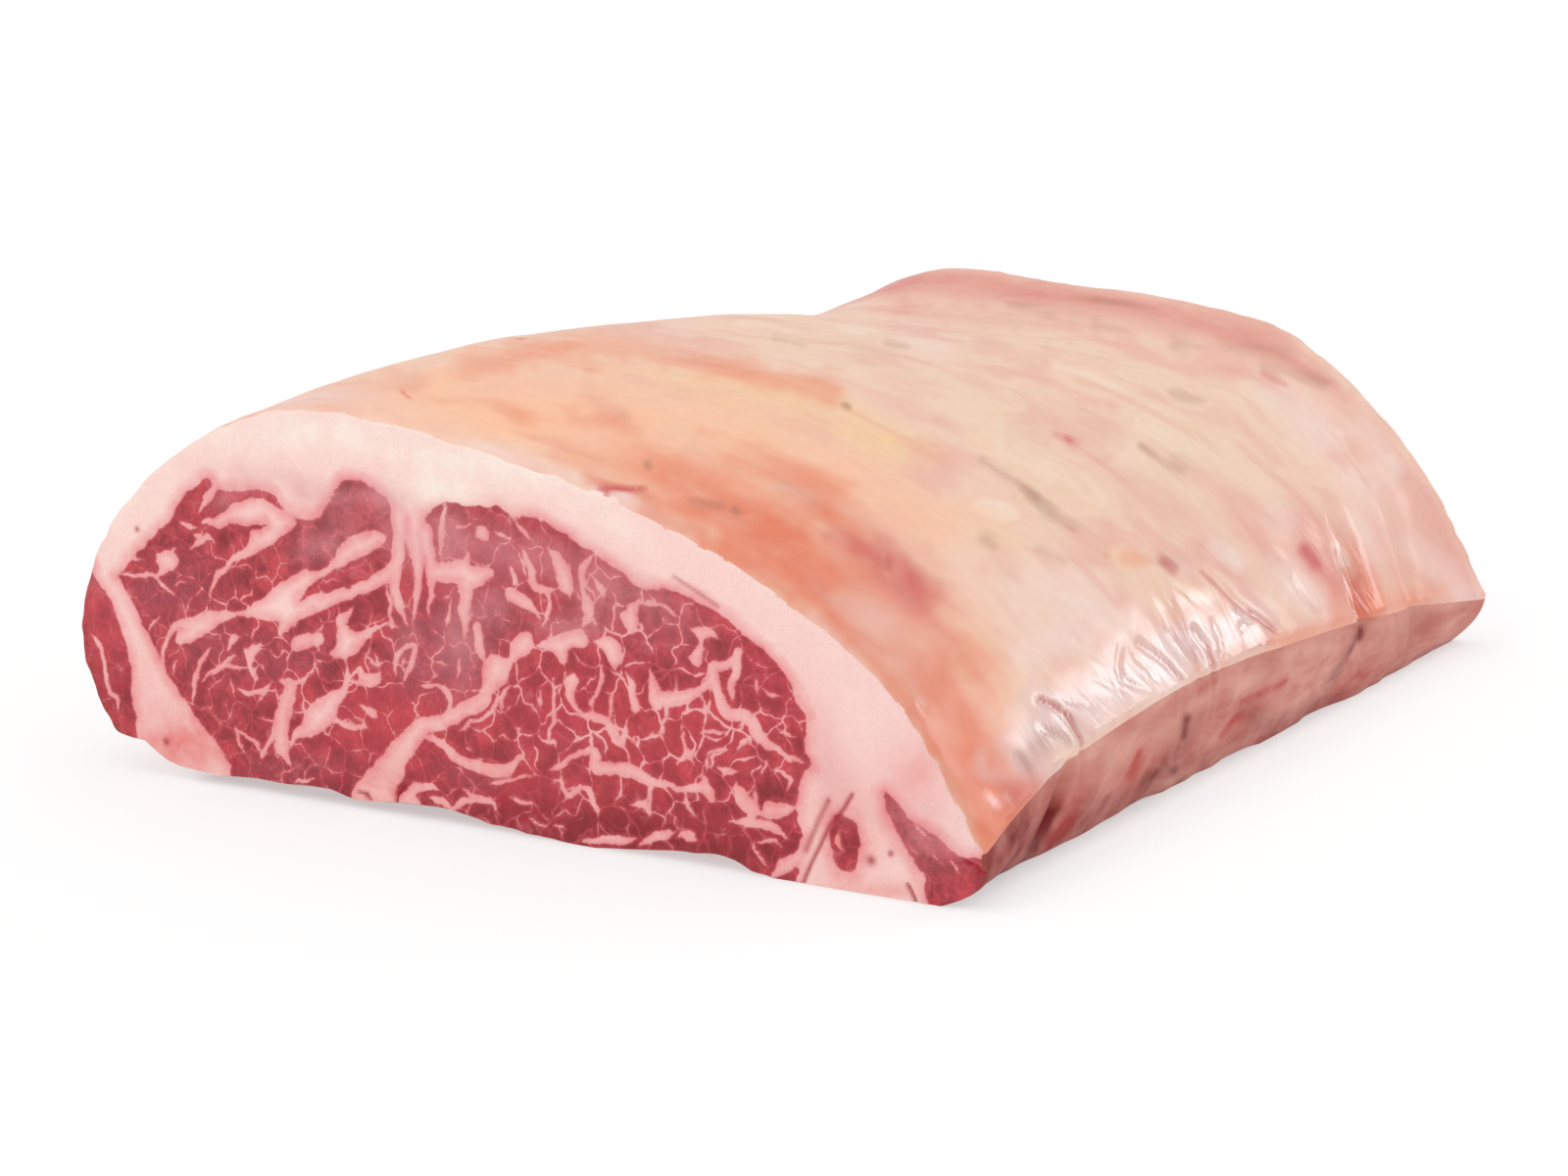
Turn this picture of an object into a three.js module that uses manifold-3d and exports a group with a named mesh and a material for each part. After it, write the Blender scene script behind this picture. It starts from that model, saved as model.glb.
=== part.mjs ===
// Raw boneless beef striploin, half of a whole loin, lying fat side up.
// Millimetres, +Z up. X runs across the loin from the chine (-X) to the trimmed tail (+X),
// Y runs along it from the marbled cut (-Y) to the far cut (+Y), and the base lies at Z = 0.
// The tissues that show at the cuts run the whole length as solids of their own: the fat cap with
// its chine seam, the eye muscle, the strip of side muscle outside that seam, and two tail muscles.
import * as THREE from "three";
import Module from "manifold-3d";

const wasm = await Module();
wasm.setup();

// Driving dimensions
const loinLength = 282;
const tissueGap = 0.3; // between neighbouring tissues
const cutEdgeRound = 1; // how far the skin draws in at the rim of a cut
const cutEdgeDepth = 3; // over this length
const past = 6; // how far a cutting body runs beyond what it cuts

// Where the rails of the outline and of the tissues are given, as shares of the length
const skinStations = [0, 0.163, 0.43, 0.82, 1];
const tissueStations = [0, 0.5, 1];

// Rings along the length: close together where the rim of a cut is rounded
const skinRings = 30;
const tissueRings = 14;

// Rails of the skin: [x, z] at each of skinStations, from the chine foot over the crest to the trimmed tail
const skinRails = {
  chineFoot: [[-98, 7], [-98, 5], [-99, 4], [-98, 4.5], [-95, 6.5]],
  chineLow: [[-107.5, 9.5], [-109, 10.5], [-109.5, 10.5], [-107.5, 11], [-103, 11.5]],
  chineBelly: [[-116, 29.5], [-115.5, 32], [-115, 33], [-112, 30], [-108, 29]],
  chineShoulder: [[-107.5, 53.5], [-108, 58.5], [-107, 60], [-102.5, 54], [-97.5, 53.5]],
  chineTop: [[-83.5, 74.6], [-84.5, 79.5], [-83.5, 80], [-79.5, 72.5], [-76.5, 73.5]],
  crest: [[-52.5, 86.6], [-54, 90.5], [-52, 90.8], [-48, 83.5], [-45, 88]],
  capHigh: [[-9, 82.3], [-9, 87], [-8, 88.5], [-6, 82], [-6, 86]],
  capMid: [[28, 74.3], [28, 78.5], [29, 81.5], [30, 79], [49, 80.3]],
  capLow: [[68, 58], [68, 61.5], [69, 65.5], [70, 66.5], [68, 70.8]],
  capEdge: [[95.5, 40.5], [95, 43], [95, 46.5], [95.5, 45.5], [94.5, 46]],
  trimTop: [[114.5, 12.5], [112, 23], [111.5, 26.5], [112, 19.5], [115.5, 13.5]],
};
const trimFoot = [[105.5, 0], [105.5, 0], [105.5, 0], [107, 0], [106.5, 0]];

// The wall of the eye muscle, from under the chine side over the top to under the tail side
const eyeRails = [
  [[-70, -6], [-70, -6], [-66, -6]],
  [[-73, 6.5], [-73, 6.5], [-69, 6.5]],
  [[-78, 11.5], [-78, 11.5], [-74, 11.5]],
  [[-88, 19.5], [-88, 19.5], [-83, 19.5]],
  [[-96, 30.5], [-96, 30.5], [-90, 30.5]],
  [[-103.5, 43], [-102, 43.5], [-95.5, 42.5]],
  [[-96, 52], [-95, 55.5], [-89, 52.5]],
  [[-84, 63], [-83, 66.5], [-78, 62.5]],
  [[-73, 68.5], [-73, 73.5], [-68, 68.5]],
  [[-52, 69.5], [-51, 78.5], [-46, 74.5]],
  [[-26, 69], [-25, 78.5], [-22, 75.5]],
  [[-1, 69], [0, 76.5], [0, 73.5]],
  [[18, 65], [20, 72.5], [20, 71.5]],
  [[35, 58], [37, 66.5], [38, 67.5]],
  [[51.5, 52.5], [53, 58.5], [54, 60.5]],
  [[66, 45], [67, 48.5], [67, 50.5]],
  [[73, 35.5], [74.5, 36.5], [75, 37.5]],
  [[75, 24.5], [76.5, 24.5], [77, 24.5]],
  [[72.5, 14.5], [74, 14.5], [75, 14.5]],
  [[71, 5.5], [72, 5.5], [73, 5.5]],
  [[67, -6], [67, -6], [68, -6]],
];

// The inner wall of the side muscle, from above the skin down to under the base
const sideRails = [
  [[-124, 46.5], [-124, 48.5], [-118, 46.5]],
  [[-110.5, 44], [-110.5, 46.5], [-104, 44.5]],
  [[-106.5, 40], [-106.5, 41.5], [-100, 40]],
  [[-104, 34.5], [-104, 34.5], [-97.5, 34.5]],
  [[-102.5, 27.5], [-102.5, 27.5], [-96, 27.5]],
  [[-101.5, 19.5], [-101.5, 19.5], [-95.5, 19.5]],
  [[-100.5, 11.5], [-100.5, 11.5], [-94.5, 11.5]],
  [[-99, 3.5], [-98.5, 3.5], [-93, 3.5]],
  [[-98, -6], [-98, -6], [-93, -6]],
];
const sideOuterX = -128; // a line outside the skin that closes the side muscle's section

// The inner tail muscle is a leaning oval: centre, half width and half height at each of tissueStations
const innerTail = {
  centre: [[83, 9.9], [82, 11.5], [83, 10.5]],
  half: [[3.7, 5.6], [4.8, 6], [4.2, 5.4]],
  lean: 0.28,
  sides: 12,
};

// The outer tail muscle: a wedge that leaves the tail as the whole height of its trimmed side.
// Its rails are given at skinStations, because its upper edge follows the trim.
const outerTailRails = [
  [[92.4, 21.2], [91, 28], [91, 30], [92, 25], [92, 20.5]],
  [[95, 19.5], [95, 26.5], [95, 29], [96, 22.5], [95, 19]],
  [[98, 16], [99, 23.5], [99, 27], [100, 19.5], [98, 15.5]],
  [[105.8, 12.3], [106, 21.5], [106, 25], [106, 18], [106, 12.5]],
  [[124, 10.5], [124, 21.5], [124, 25], [124, 18], [124, 11.5]],
  [[124, -6], [124, -6], [124, -6], [124, -6], [124, -6]],
  [[101.5, -6], [101.5, -6], [101, -6], [101.5, -6], [101.5, -6]],
  [[100.5, 3], [100, 4], [100, 4.5], [100, 4], [100.5, 3]],
  [[97.5, 10.5], [96.5, 13], [96.5, 14], [97, 12], [97.5, 10]],
  [[94, 15.2], [93, 19], [93, 20], [93.5, 18], [94, 14.5]],
];

// Relief of the skin. Each place is [x, y], each depth is into the loin, and a negative one stands proud.
const skinDents = [
  { at: [72, -102], reach: [15, 12], depth: 2.4 }, // the red dimple
  { at: [-20, 84], reach: [46, 20], depth: 1.6 }, // the waist
  { at: [-2, -106], reach: [38, 15], depth: -1.6 }, // the swell behind the marbled cut
  { at: [10, 136], reach: [75, 8], depth: -2 }, // the rim of the far cut
  { at: [98, -20], reach: [10, 30], depth: -1.6 }, // lobes of the tail, from near to far
  { at: [96, 78], reach: [13, 15], depth: -2.4 },
  { at: [98, 118], reach: [11, 13], depth: -1.6 },
];
const skinCreases = [
  { from: [52, -30], to: [106, -33], width: 5, depth: 1.4 }, // the long groove
  { from: [76, 84], to: [112, 66], width: 5, depth: 2.6 }, // between the tail lobes
  { from: [88, 112], to: [112, 96], width: 4, depth: 1.8 },
];
const rolling = { depth: 0.7, across: 46, along: 61 }; // the slow unevenness of the whole skin
const reliefFade = 12; // the relief fades out below this height

// The trimmed tail side swells out, and has slits and folds: where along the length, how wide and how deep
const sideBelly = 2;
const sideSlits = [
  { y: -106, width: 3.4, depth: 3.4 },
  { y: -6, width: 8, depth: 1.8 },
  { y: 62, width: 4, depth: 2.6 },
  { y: 104, width: 5, depth: 1.6 },
];

// The base is flat but for the shallow prints of the finger bones and the lifted rims of the cuts
const fingerPrints = { places: [-92, -44, 4, 52, 100], width: 15, depth: 2.2, fromX: -62, toX: 38 };
const rimArches = [
  { x: 53, width: 17, rise: 3.4 },
  { x: -13, width: 24, rise: 3 },
  { x: -66, width: 30, rise: 2.6 },
];
const rimArchLength = 16; // how far in from a cut its arches fade out
const baseBlend = 20; // over this width the flat base turns up into the chine

// Steps of the skin's section
const capPerSpan = 4;
const sideSteps = 5;
const baseSteps = 18;
const wallPerSpan = 2; // of the muscles' walls

// Cubic Hermite through the values given at the knots
function through(knots, values, t) {
  let i = 0;
  while (i < knots.length - 2 && t > knots[i + 1]) i++;
  const slope = (k) => {
    const a = Math.max(k - 1, 0);
    const b = Math.min(k + 1, knots.length - 1);
    return (values[b] - values[a]) / (knots[b] - knots[a]);
  };
  const step = knots[i + 1] - knots[i];
  const s = (t - knots[i]) / step;
  return (
    values[i] * (1 + 2 * s) * (1 - s) ** 2 +
    slope(i) * step * s * (1 - s) ** 2 +
    values[i + 1] * s * s * (3 - 2 * s) +
    slope(i + 1) * step * s * s * (s - 1)
  );
}

// A rail's [x, z] at a share of the length
function railAt(stations, rail, share) {
  return [0, 1].map((axis) => through(stations, rail.map((p) => p[axis]), share));
}

// Points along a smooth line through the control points, spaced by their own distances apart
function smoothLine(points, perSpan) {
  const knots = [0];
  points.slice(1).forEach((p, i) => {
    knots.push(knots[i] + Math.sqrt(Math.hypot(p[0] - points[i][0], p[1] - points[i][1])));
  });
  const line = [];
  for (let i = 0; i < points.length - 1; i++) {
    for (let j = 0; j < perSpan; j++) {
      const t = knots[i] + ((knots[i + 1] - knots[i]) * j) / perSpan;
      line.push([0, 1].map((axis) => through(knots, points.map((p) => p[axis]), t)));
    }
  }
  return [...line, points.at(-1)];
}

const bell = (d) => Math.exp(-d * d);
const hump = (d, cut) => Math.max(0, (1 + cut) * bell(d) - cut); // a bell that reaches zero
const yAt = (share) => (share - 0.5) * loinLength;
const fromCut = (y) => loinLength / 2 - Math.abs(y);

function distanceToLine([x, y], from, to) {
  const run = [to[0] - from[0], to[1] - from[1]];
  const share = ((x - from[0]) * run[0] + (y - from[1]) * run[1]) / (run[0] ** 2 + run[1] ** 2);
  const s = Math.min(1, Math.max(0, share));
  return Math.hypot(x - from[0] - s * run[0], y - from[1] - s * run[1]);
}

// How far the skin stands in at a place seen from above
function skinDepth(x, y) {
  const { depth, across, along } = rolling;
  let d = depth * Math.sin((3 * x) / across + y / along) * Math.sin((3 * y) / along - x / across);
  for (const { at, reach, depth: deep } of skinDents) {
    d += deep * bell(Math.hypot((x - at[0]) / reach[0], (y - at[1]) / reach[1]));
  }
  for (const { from, to, width, depth: deep } of skinCreases) {
    d += deep * bell(distanceToLine([x, y], from, to) / width);
  }
  return d;
}

// How far the rim of a cut draws the skin in
function rimDepth(y) {
  const s = Math.max(0, 1 - fromCut(y) / cutEdgeDepth);
  return cutEdgeRound * (1 - Math.sqrt(Math.max(0, 1 - s * s)));
}

// The height of the base over the ground
function baseLift(x, y) {
  const { places, width, depth, fromX, toX } = fingerPrints;
  const { smoothstep } = THREE.MathUtils;
  const across = smoothstep(x, fromX, fromX + width) * (1 - smoothstep(x, toX - width, toX));
  let lift = 0;
  for (const place of places) lift += depth * across * hump((2 * (y - place)) / width, 0.25);
  const rim = Math.max(0, 1 - fromCut(y) / rimArchLength);
  for (const { x: at, width: wide, rise } of rimArches) {
    lift += rise * rim * rim * hump((2 * (x - at)) / wide, 0.2);
  }
  return lift;
}

// Moves each point of an open line along its own outward normal, which is on the left of the way it runs
function pushed(line, byHow) {
  return line.map((p, i) => {
    const a = line[Math.max(i - 1, 0)];
    const b = line[Math.min(i + 1, line.length - 1)];
    const long = Math.hypot(b[0] - a[0], b[1] - a[1]);
    const out = [-(b[1] - a[1]) / long, (b[0] - a[0]) / long];
    const d = byHow(p);
    return [p[0] + out[0] * d, p[1] + out[1] * d];
  });
}

// The skin's closed outline at a share of the length
function skinSection(share) {
  const y = yAt(share);
  const rim = rimDepth(y);
  const rails = Object.values(skinRails).map((rail) => railAt(skinStations, rail, share));
  const skin = pushed(smoothLine(rails, capPerSpan), ([x, z]) => {
    return -rim - skinDepth(x, y) * Math.min(1, Math.max(0, z / reliefFade));
  });
  const top = skin.at(-1);
  const foot = railAt(skinStations, trimFoot, share);
  foot[0] -= rim;
  const slit = sideSlits.reduce((sum, s) => sum + s.depth * bell((y - s.y) / s.width), 0);
  const side = [];
  for (let i = 1; i < sideSteps; i++) {
    const s = i / sideSteps;
    const out = (sideBelly - slit) * Math.sin(Math.PI * s);
    side.push([top[0] + (foot[0] - top[0]) * s + out, top[1] + (foot[1] - top[1]) * s]);
  }
  const heel = skin[0];
  const base = [];
  for (let i = 1; i < baseSteps; i++) {
    const x = foot[0] + ((heel[0] - foot[0]) * i) / baseSteps;
    const nearHeel = Math.max(0, 1 - (x - heel[0]) / baseBlend) ** 2;
    base.push([x, heel[1] * nearHeel + baseLift(x, y)]);
  }
  return [...skin, ...side, foot, ...base];
}

// A section turned so that it runs anticlockwise, seen from the near cut
function anticlockwise(section) {
  const cross = (p, q) => p[0] * q[1] - q[0] * p[1];
  const area = section.reduce((sum, p, i) => sum + cross(p, section[(i + 1) % section.length]), 0);
  return area > 0 ? section : section.reverse();
}

// A closed body through sections of equal length, flat at both ends
function loft(shares, sectionAt, overrun = 0) {
  const sections = shares.map((share) => anticlockwise(sectionAt(share)));
  const n = sections[0].length;
  const last = shares.length - 1;
  const vertProperties = [];
  shares.forEach((share, k) => {
    const end = k === 0 ? -overrun : k === last ? overrun : 0;
    for (const [x, z] of sections[k]) vertProperties.push(x, yAt(share) + end, z);
  });
  const triVerts = [];
  for (let k = 0; k < last; k++) {
    for (let i = 0; i < n; i++) {
      const a = k * n + i;
      const b = k * n + ((i + 1) % n);
      triVerts.push(a, a + n, b, b, a + n, b + n);
    }
  }
  const far = last * n;
  for (const [a, b, c] of wasm.triangulate([sections[0]])) triVerts.push(a, b, c);
  for (const [a, b, c] of wasm.triangulate([sections[last]])) triVerts.push(far + a, far + c, far + b);
  return new wasm.Manifold(
    new wasm.Mesh({
      numProp: 3,
      vertProperties: new Float32Array(vertProperties),
      triVerts: new Uint32Array(triVerts),
    }),
  );
}

function evenShares(count) {
  return Array.from({ length: count + 1 }, (_, i) => i / count);
}

// Evenly spaced shares of the length, with two more inside each rounded rim
function ringShares(count) {
  const rims = [0.25, 0.6].map((s) => (s * cutEdgeDepth) / loinLength);
  return [...evenShares(count), ...rims, ...rims.map((s) => 1 - s)].sort((a, b) => a - b);
}

// Sections of the inner tissues
function eyeSection(share) {
  return smoothLine(eyeRails.map((rail) => railAt(tissueStations, rail, share)), wallPerSpan);
}
function sideSection(share) {
  const wall = smoothLine(sideRails.map((rail) => railAt(tissueStations, rail, share)), wallPerSpan);
  return [...wall, [sideOuterX, wall.at(-1)[1]], [sideOuterX, wall[0][1]]];
}
function innerTailSection(share) {
  const [cx, cz] = railAt(tissueStations, innerTail.centre, share);
  const [rx, rz] = railAt(tissueStations, innerTail.half, share);
  return Array.from({ length: innerTail.sides }, (_, i) => {
    const turn = (2 * Math.PI * i) / innerTail.sides;
    return [cx + rx * Math.cos(turn) + innerTail.lean * rz * Math.sin(turn), cz + rz * Math.sin(turn)];
  });
}
function outerTailSection(share) {
  return outerTailRails.map((rail) => railAt(skinStations, rail, share));
}

// An anticlockwise section grown by a margin, with its corners kept but for the tips of sharp ones
const sharpest = 0.35;
function grown(section, margin) {
  const n = section.length;
  const normal = ([x0, z0], [x1, z1]) => {
    const long = Math.hypot(x1 - x0, z1 - z0);
    return [(z1 - z0) / long, (x0 - x1) / long];
  };
  return section.map((p, i) => {
    const before = normal(section[(i + n - 1) % n], p);
    const after = normal(p, section[(i + 1) % n]);
    const both = [before[0] + after[0], before[1] + after[1]];
    const reach = (2 * margin) / Math.max(sharpest, both[0] ** 2 + both[1] ** 2);
    return [p[0] + both[0] * reach, p[1] + both[1] * reach];
  });
}

const whole = loft(ringShares(skinRings), skinSection);
const tissue = (section, margin) =>
  loft(evenShares(tissueRings), (share) => grown(anticlockwise(section(share)), margin), past);

const eye = tissue(eyeSection, 0).intersect(whole);
const side = tissue(sideSection, 0).intersect(whole);
const tailInside = tissue(innerTailSection, 0).intersect(whole);
const tailOutside = tissue(outerTailSection, 0).intersect(whole);
const fat = [eyeSection, sideSection, innerTailSection, outerTailSection].reduce(
  (rest, section) => rest.subtract(tissue(section, tissueGap)),
  whole,
);

function meshOf(name, solid, color, roughness) {
  const { vertProperties, triVerts } = solid.getMesh();
  const geometry = new THREE.BufferGeometry();
  geometry.setAttribute("position", new THREE.BufferAttribute(vertProperties, 3));
  geometry.setIndex(new THREE.BufferAttribute(triVerts, 1));
  geometry.computeVertexNormals();
  const mesh = new THREE.Mesh(geometry, new THREE.MeshStandardMaterial({ color, roughness, metalness: 0 }));
  mesh.name = name;
  return mesh;
}

const striploin = new THREE.Group();
striploin.name = "beef_striploin";
striploin.add(
  meshOf("fat_cap", fat, "#f2cdb8", 0.42),
  meshOf("eye_muscle", eye, "#a63a44", 0.38),
  meshOf("side_muscle", side, "#a8434b", 0.4),
  meshOf("tail_muscle_inner", tailInside, "#b04a50", 0.4),
  meshOf("tail_muscle_outer", tailOutside, "#b04a50", 0.4),
);

export default striploin;
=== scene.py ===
# Raw boneless beef striploin with its fat cap up, on a white studio floor.
# The five tissues are cut out of one dense body with the same knife-smooth walls as the frame's solids,
# so that fat and lean lie flush at the cuts. Lengths are in millimetres until a mesh is written.
import math

import bpy
import numpy as np
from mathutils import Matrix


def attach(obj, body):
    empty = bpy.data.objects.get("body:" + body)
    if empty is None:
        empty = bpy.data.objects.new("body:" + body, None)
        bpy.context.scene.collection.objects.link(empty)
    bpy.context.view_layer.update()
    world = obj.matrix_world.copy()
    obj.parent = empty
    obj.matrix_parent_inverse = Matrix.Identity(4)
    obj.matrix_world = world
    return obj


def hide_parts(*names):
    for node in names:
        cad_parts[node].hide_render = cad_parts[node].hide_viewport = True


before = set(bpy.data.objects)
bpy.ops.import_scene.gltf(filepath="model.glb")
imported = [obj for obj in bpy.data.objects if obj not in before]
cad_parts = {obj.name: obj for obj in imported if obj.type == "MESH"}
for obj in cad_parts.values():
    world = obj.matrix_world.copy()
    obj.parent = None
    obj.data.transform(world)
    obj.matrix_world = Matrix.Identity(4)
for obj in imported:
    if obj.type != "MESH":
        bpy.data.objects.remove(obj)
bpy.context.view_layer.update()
print("frame loaded:", ", ".join(sorted(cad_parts)))

mm = 0.001
loinLength = 282
halfLength = loinLength / 2


# The camera, solved from the photograph.
cameraAt = {  # place in m, turns in degrees, lens and film in mm
    "x": 0.418853, "y": -0.727924, "z": 0.201498, "down": 11.697, "turn": 30.776, "lens": 81, "film": 36,
}
photoSize = {"wide": 1600, "high": 1200}


def makeCamera():
    lens = bpy.data.cameras.new("studioCamera")
    lens.lens = cameraAt["lens"]
    lens.sensor_width = cameraAt["film"]
    camera = bpy.data.objects.new("studioCamera", lens)
    camera.location = (cameraAt["x"], cameraAt["y"], cameraAt["z"])
    camera.rotation_euler = (math.radians(90 - cameraAt["down"]), 0, math.radians(cameraAt["turn"]))
    bpy.context.collection.objects.link(camera)
    bpy.context.scene.camera = camera


def lensAxes():  # the camera's right, ahead and up, and its focal length in pixels
    turn = math.radians(cameraAt["turn"])
    down = math.radians(cameraAt["down"])
    right = np.array([math.cos(turn), math.sin(turn), 0])
    ahead = np.array([-math.sin(turn) * math.cos(down), math.cos(turn) * math.cos(down), -math.sin(down)])
    return right, ahead, np.cross(right, ahead), cameraAt["lens"] / cameraAt["film"] * photoSize["wide"]


def onCut(pixels):  # places of the photograph carried onto the marbled cut: x, z in mm
    pixels = np.asarray(pixels, float)
    right, ahead, up, focal = lensAxes()
    across, below = pixels[:, :1] - photoSize["wide"] / 2, pixels[:, 1:2] - photoSize["high"] / 2
    rays = focal * ahead + across * right - below * up
    reach = (-halfLength * mm - cameraAt["y"]) / rays[:, 1]
    return np.stack([cameraAt["x"] + rays[:, 0] * reach, cameraAt["z"] + rays[:, 2] * reach], axis=1) / mm


def inPhoto(x, y, z):  # places in mm carried into the photograph's pixels
    right, ahead, up, focal = lensAxes()
    ray = [x * mm - cameraAt["x"], y * mm - cameraAt["y"], z * mm - cameraAt["z"]]
    across, reach, above = (sum(r * a for r, a in zip(ray, axis)) for axis in (right, ahead, up))
    return photoSize["wide"] / 2 + focal * across / reach, photoSize["high"] / 2 - focal * above / reach


makeCamera()
print("camera set")


# The rails that the frame's solids follow, as [x, z] at each station along the loin.
skinStations = np.array([0, 0.163, 0.43, 0.82, 1])
tissueStations = np.array([0, 0.5, 1])
skinRails = [
    [[-98, 7], [-98, 5], [-99, 4], [-98, 4.5], [-95, 6.5]],
    [[-107.5, 9.5], [-109, 10.5], [-109.5, 10.5], [-107.5, 11], [-103, 11.5]],
    [[-116, 29.5], [-115.5, 32], [-115, 33], [-112, 30], [-108, 29]],
    [[-107.5, 53.5], [-108, 58.5], [-107, 60], [-102.5, 54], [-97.5, 53.5]],
    [[-83.5, 74.6], [-84.5, 79.5], [-83.5, 80], [-79.5, 72.5], [-76.5, 73.5]],
    [[-52.5, 86.6], [-54, 90.5], [-52, 90.8], [-48, 83.5], [-45, 88]],
    [[-9, 82.3], [-9, 87], [-8, 88.5], [-6, 82], [-6, 86]],
    [[28, 74.3], [28, 78.5], [29, 81.5], [30, 79], [49, 80.3]],
    [[68, 58], [68, 61.5], [69, 65.5], [70, 66.5], [68, 70.8]],
    [[95.5, 40.5], [95, 43], [95, 46.5], [95.5, 45.5], [94.5, 46]],
    [[114.5, 12.5], [112, 23], [111.5, 26.5], [112, 19.5], [115.5, 13.5]],
]
trimFoot = [[105.5, 0], [105.5, 0], [105.5, 0], [107, 0], [106.5, 0]]
eyeRails = [
    [[-70, -6], [-70, -6], [-66, -6]],
    [[-73, 6.5], [-73, 6.5], [-69, 6.5]],
    [[-78, 11.5], [-78, 11.5], [-74, 11.5]],
    [[-88, 19.5], [-88, 19.5], [-83, 19.5]],
    [[-96, 30.5], [-96, 30.5], [-90, 30.5]],
    [[-103.5, 43], [-102, 43.5], [-95.5, 42.5]],
    [[-96, 52], [-95, 55.5], [-89, 52.5]],
    [[-84, 63], [-83, 66.5], [-78, 62.5]],
    [[-73, 68.5], [-73, 73.5], [-68, 68.5]],
    [[-52, 69.5], [-51, 78.5], [-46, 74.5]],
    [[-26, 69], [-25, 78.5], [-22, 75.5]],
    [[-1, 69], [0, 76.5], [0, 73.5]],
    [[18, 65], [20, 72.5], [20, 71.5]],
    [[35, 58], [37, 66.5], [38, 67.5]],
    [[51.5, 52.5], [53, 58.5], [54, 60.5]],
    [[66, 45], [67, 48.5], [67, 50.5]],
    [[73, 35.5], [74.5, 36.5], [75, 37.5]],
    [[75, 24.5], [76.5, 24.5], [77, 24.5]],
    [[72.5, 14.5], [74, 14.5], [75, 14.5]],
    [[71, 5.5], [72, 5.5], [73, 5.5]],
    [[67, -6], [67, -6], [68, -6]],
]
sideRails = [
    [[-124, 46.5], [-124, 48.5], [-118, 46.5]],
    [[-110.5, 44], [-110.5, 46.5], [-104, 44.5]],
    [[-106.5, 40], [-106.5, 41.5], [-100, 40]],
    [[-104, 34.5], [-104, 34.5], [-97.5, 34.5]],
    [[-102.5, 27.5], [-102.5, 27.5], [-96, 27.5]],
    [[-101.5, 19.5], [-101.5, 19.5], [-95.5, 19.5]],
    [[-100.5, 11.5], [-100.5, 11.5], [-94.5, 11.5]],
    [[-99, 3.5], [-98.5, 3.5], [-93, 3.5]],
    [[-98, -6], [-98, -6], [-93, -6]],
]
sideOuterX = -128
innerTail = {
    "centre": [[83, 9.9], [82, 11.5], [83, 10.5]],
    "half": [[3.7, 5.6], [4.8, 6], [4.2, 5.4]],
    "lean": 0.28,
    "sides": 40,
}
outerTailRails = [
    [[92.4, 21.2], [91, 28], [91, 30], [92, 25], [92, 20.5]],
    [[95, 19.5], [95, 26.5], [95, 29], [96, 22.5], [95, 19]],
    [[98, 16], [99, 23.5], [99, 27], [100, 19.5], [98, 15.5]],
    [[105.8, 12.3], [106, 21.5], [106, 25], [106, 18], [106, 12.5]],
    [[124, 10.5], [124, 21.5], [124, 25], [124, 18], [124, 11.5]],
    [[124, -6], [124, -6], [124, -6], [124, -6], [124, -6]],
    [[101.5, -6], [101.5, -6], [101, -6], [101.5, -6], [101.5, -6]],
    [[100.5, 3], [100, 4], [100, 4.5], [100, 4], [100.5, 3]],
    [[97.5, 10.5], [96.5, 13], [96.5, 14], [97, 12], [97.5, 10]],
    [[94, 15.2], [93, 19], [93, 20], [93.5, 18], [94, 14.5]],
]


def hermite(before, after, low, high, slopeLow, slopeHigh, s):
    step = after - before
    return (
        low * (1 + 2 * s) * (1 - s) ** 2
        + slopeLow * step * s * (1 - s) ** 2
        + high * s * s * (3 - 2 * s)
        + slopeHigh * step * s * s * (s - 1)
    )


def railsAt(stations, rails, shares):  # every rail at every share of the length: shares x rails x 2
    values = np.moveaxis(np.asarray(rails, float), 0, 1)
    last = len(stations) - 1
    k = np.arange(last + 1)
    low, high = np.maximum(k - 1, 0), np.minimum(k + 1, last)
    slopes = (values[high] - values[low]) / (stations[high] - stations[low])[:, None, None]
    shares = np.clip(shares, 0, 1)
    i = np.clip(np.searchsorted(stations, shares) - 1, 0, last - 1)
    before, after = stations[i][:, None, None], stations[i + 1][:, None, None]
    s = (shares[:, None, None] - before) / (after - before)
    return hermite(before, after, values[i], values[i + 1], slopes[i], slopes[i + 1], s)


def smoothLines(points, spacing):  # a smooth line through each row of points, with a point every spacing mm
    gaps = np.linalg.norm(np.diff(points, axis=1), axis=2)
    knots = np.concatenate([np.zeros((len(points), 1)), np.cumsum(np.sqrt(gaps), axis=1)], axis=1)[..., None]
    last = points.shape[1] - 1
    k = np.arange(last + 1)
    low, high = np.maximum(k - 1, 0), np.minimum(k + 1, last)
    slopes = (points[:, high] - points[:, low]) / (knots[:, high] - knots[:, low])
    lines = []
    for i in range(last):
        count = max(2, round(gaps[:, i].mean() / spacing))
        s = (np.arange(count) / count)[None, :, None]
        span = slice(i, i + 1), slice(i + 1, i + 2)
        lines.append(
            hermite(
                knots[:, span[0]], knots[:, span[1]], points[:, span[0]], points[:, span[1]],
                slopes[:, span[0]], slopes[:, span[1]], s,
            )
        )
    return np.concatenate([*lines, points[:, -1:]], axis=1)


def bell(d):
    return np.exp(-d * d)


def hump(d, cut):  # a bell with its skirt cut off
    return np.maximum(0, (1 + cut) * bell(d) - cut)


def smoothstep(v, low, high):
    s = np.clip((v - low) / (high - low), 0, 1)
    return s * s * (3 - 2 * s)


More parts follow.
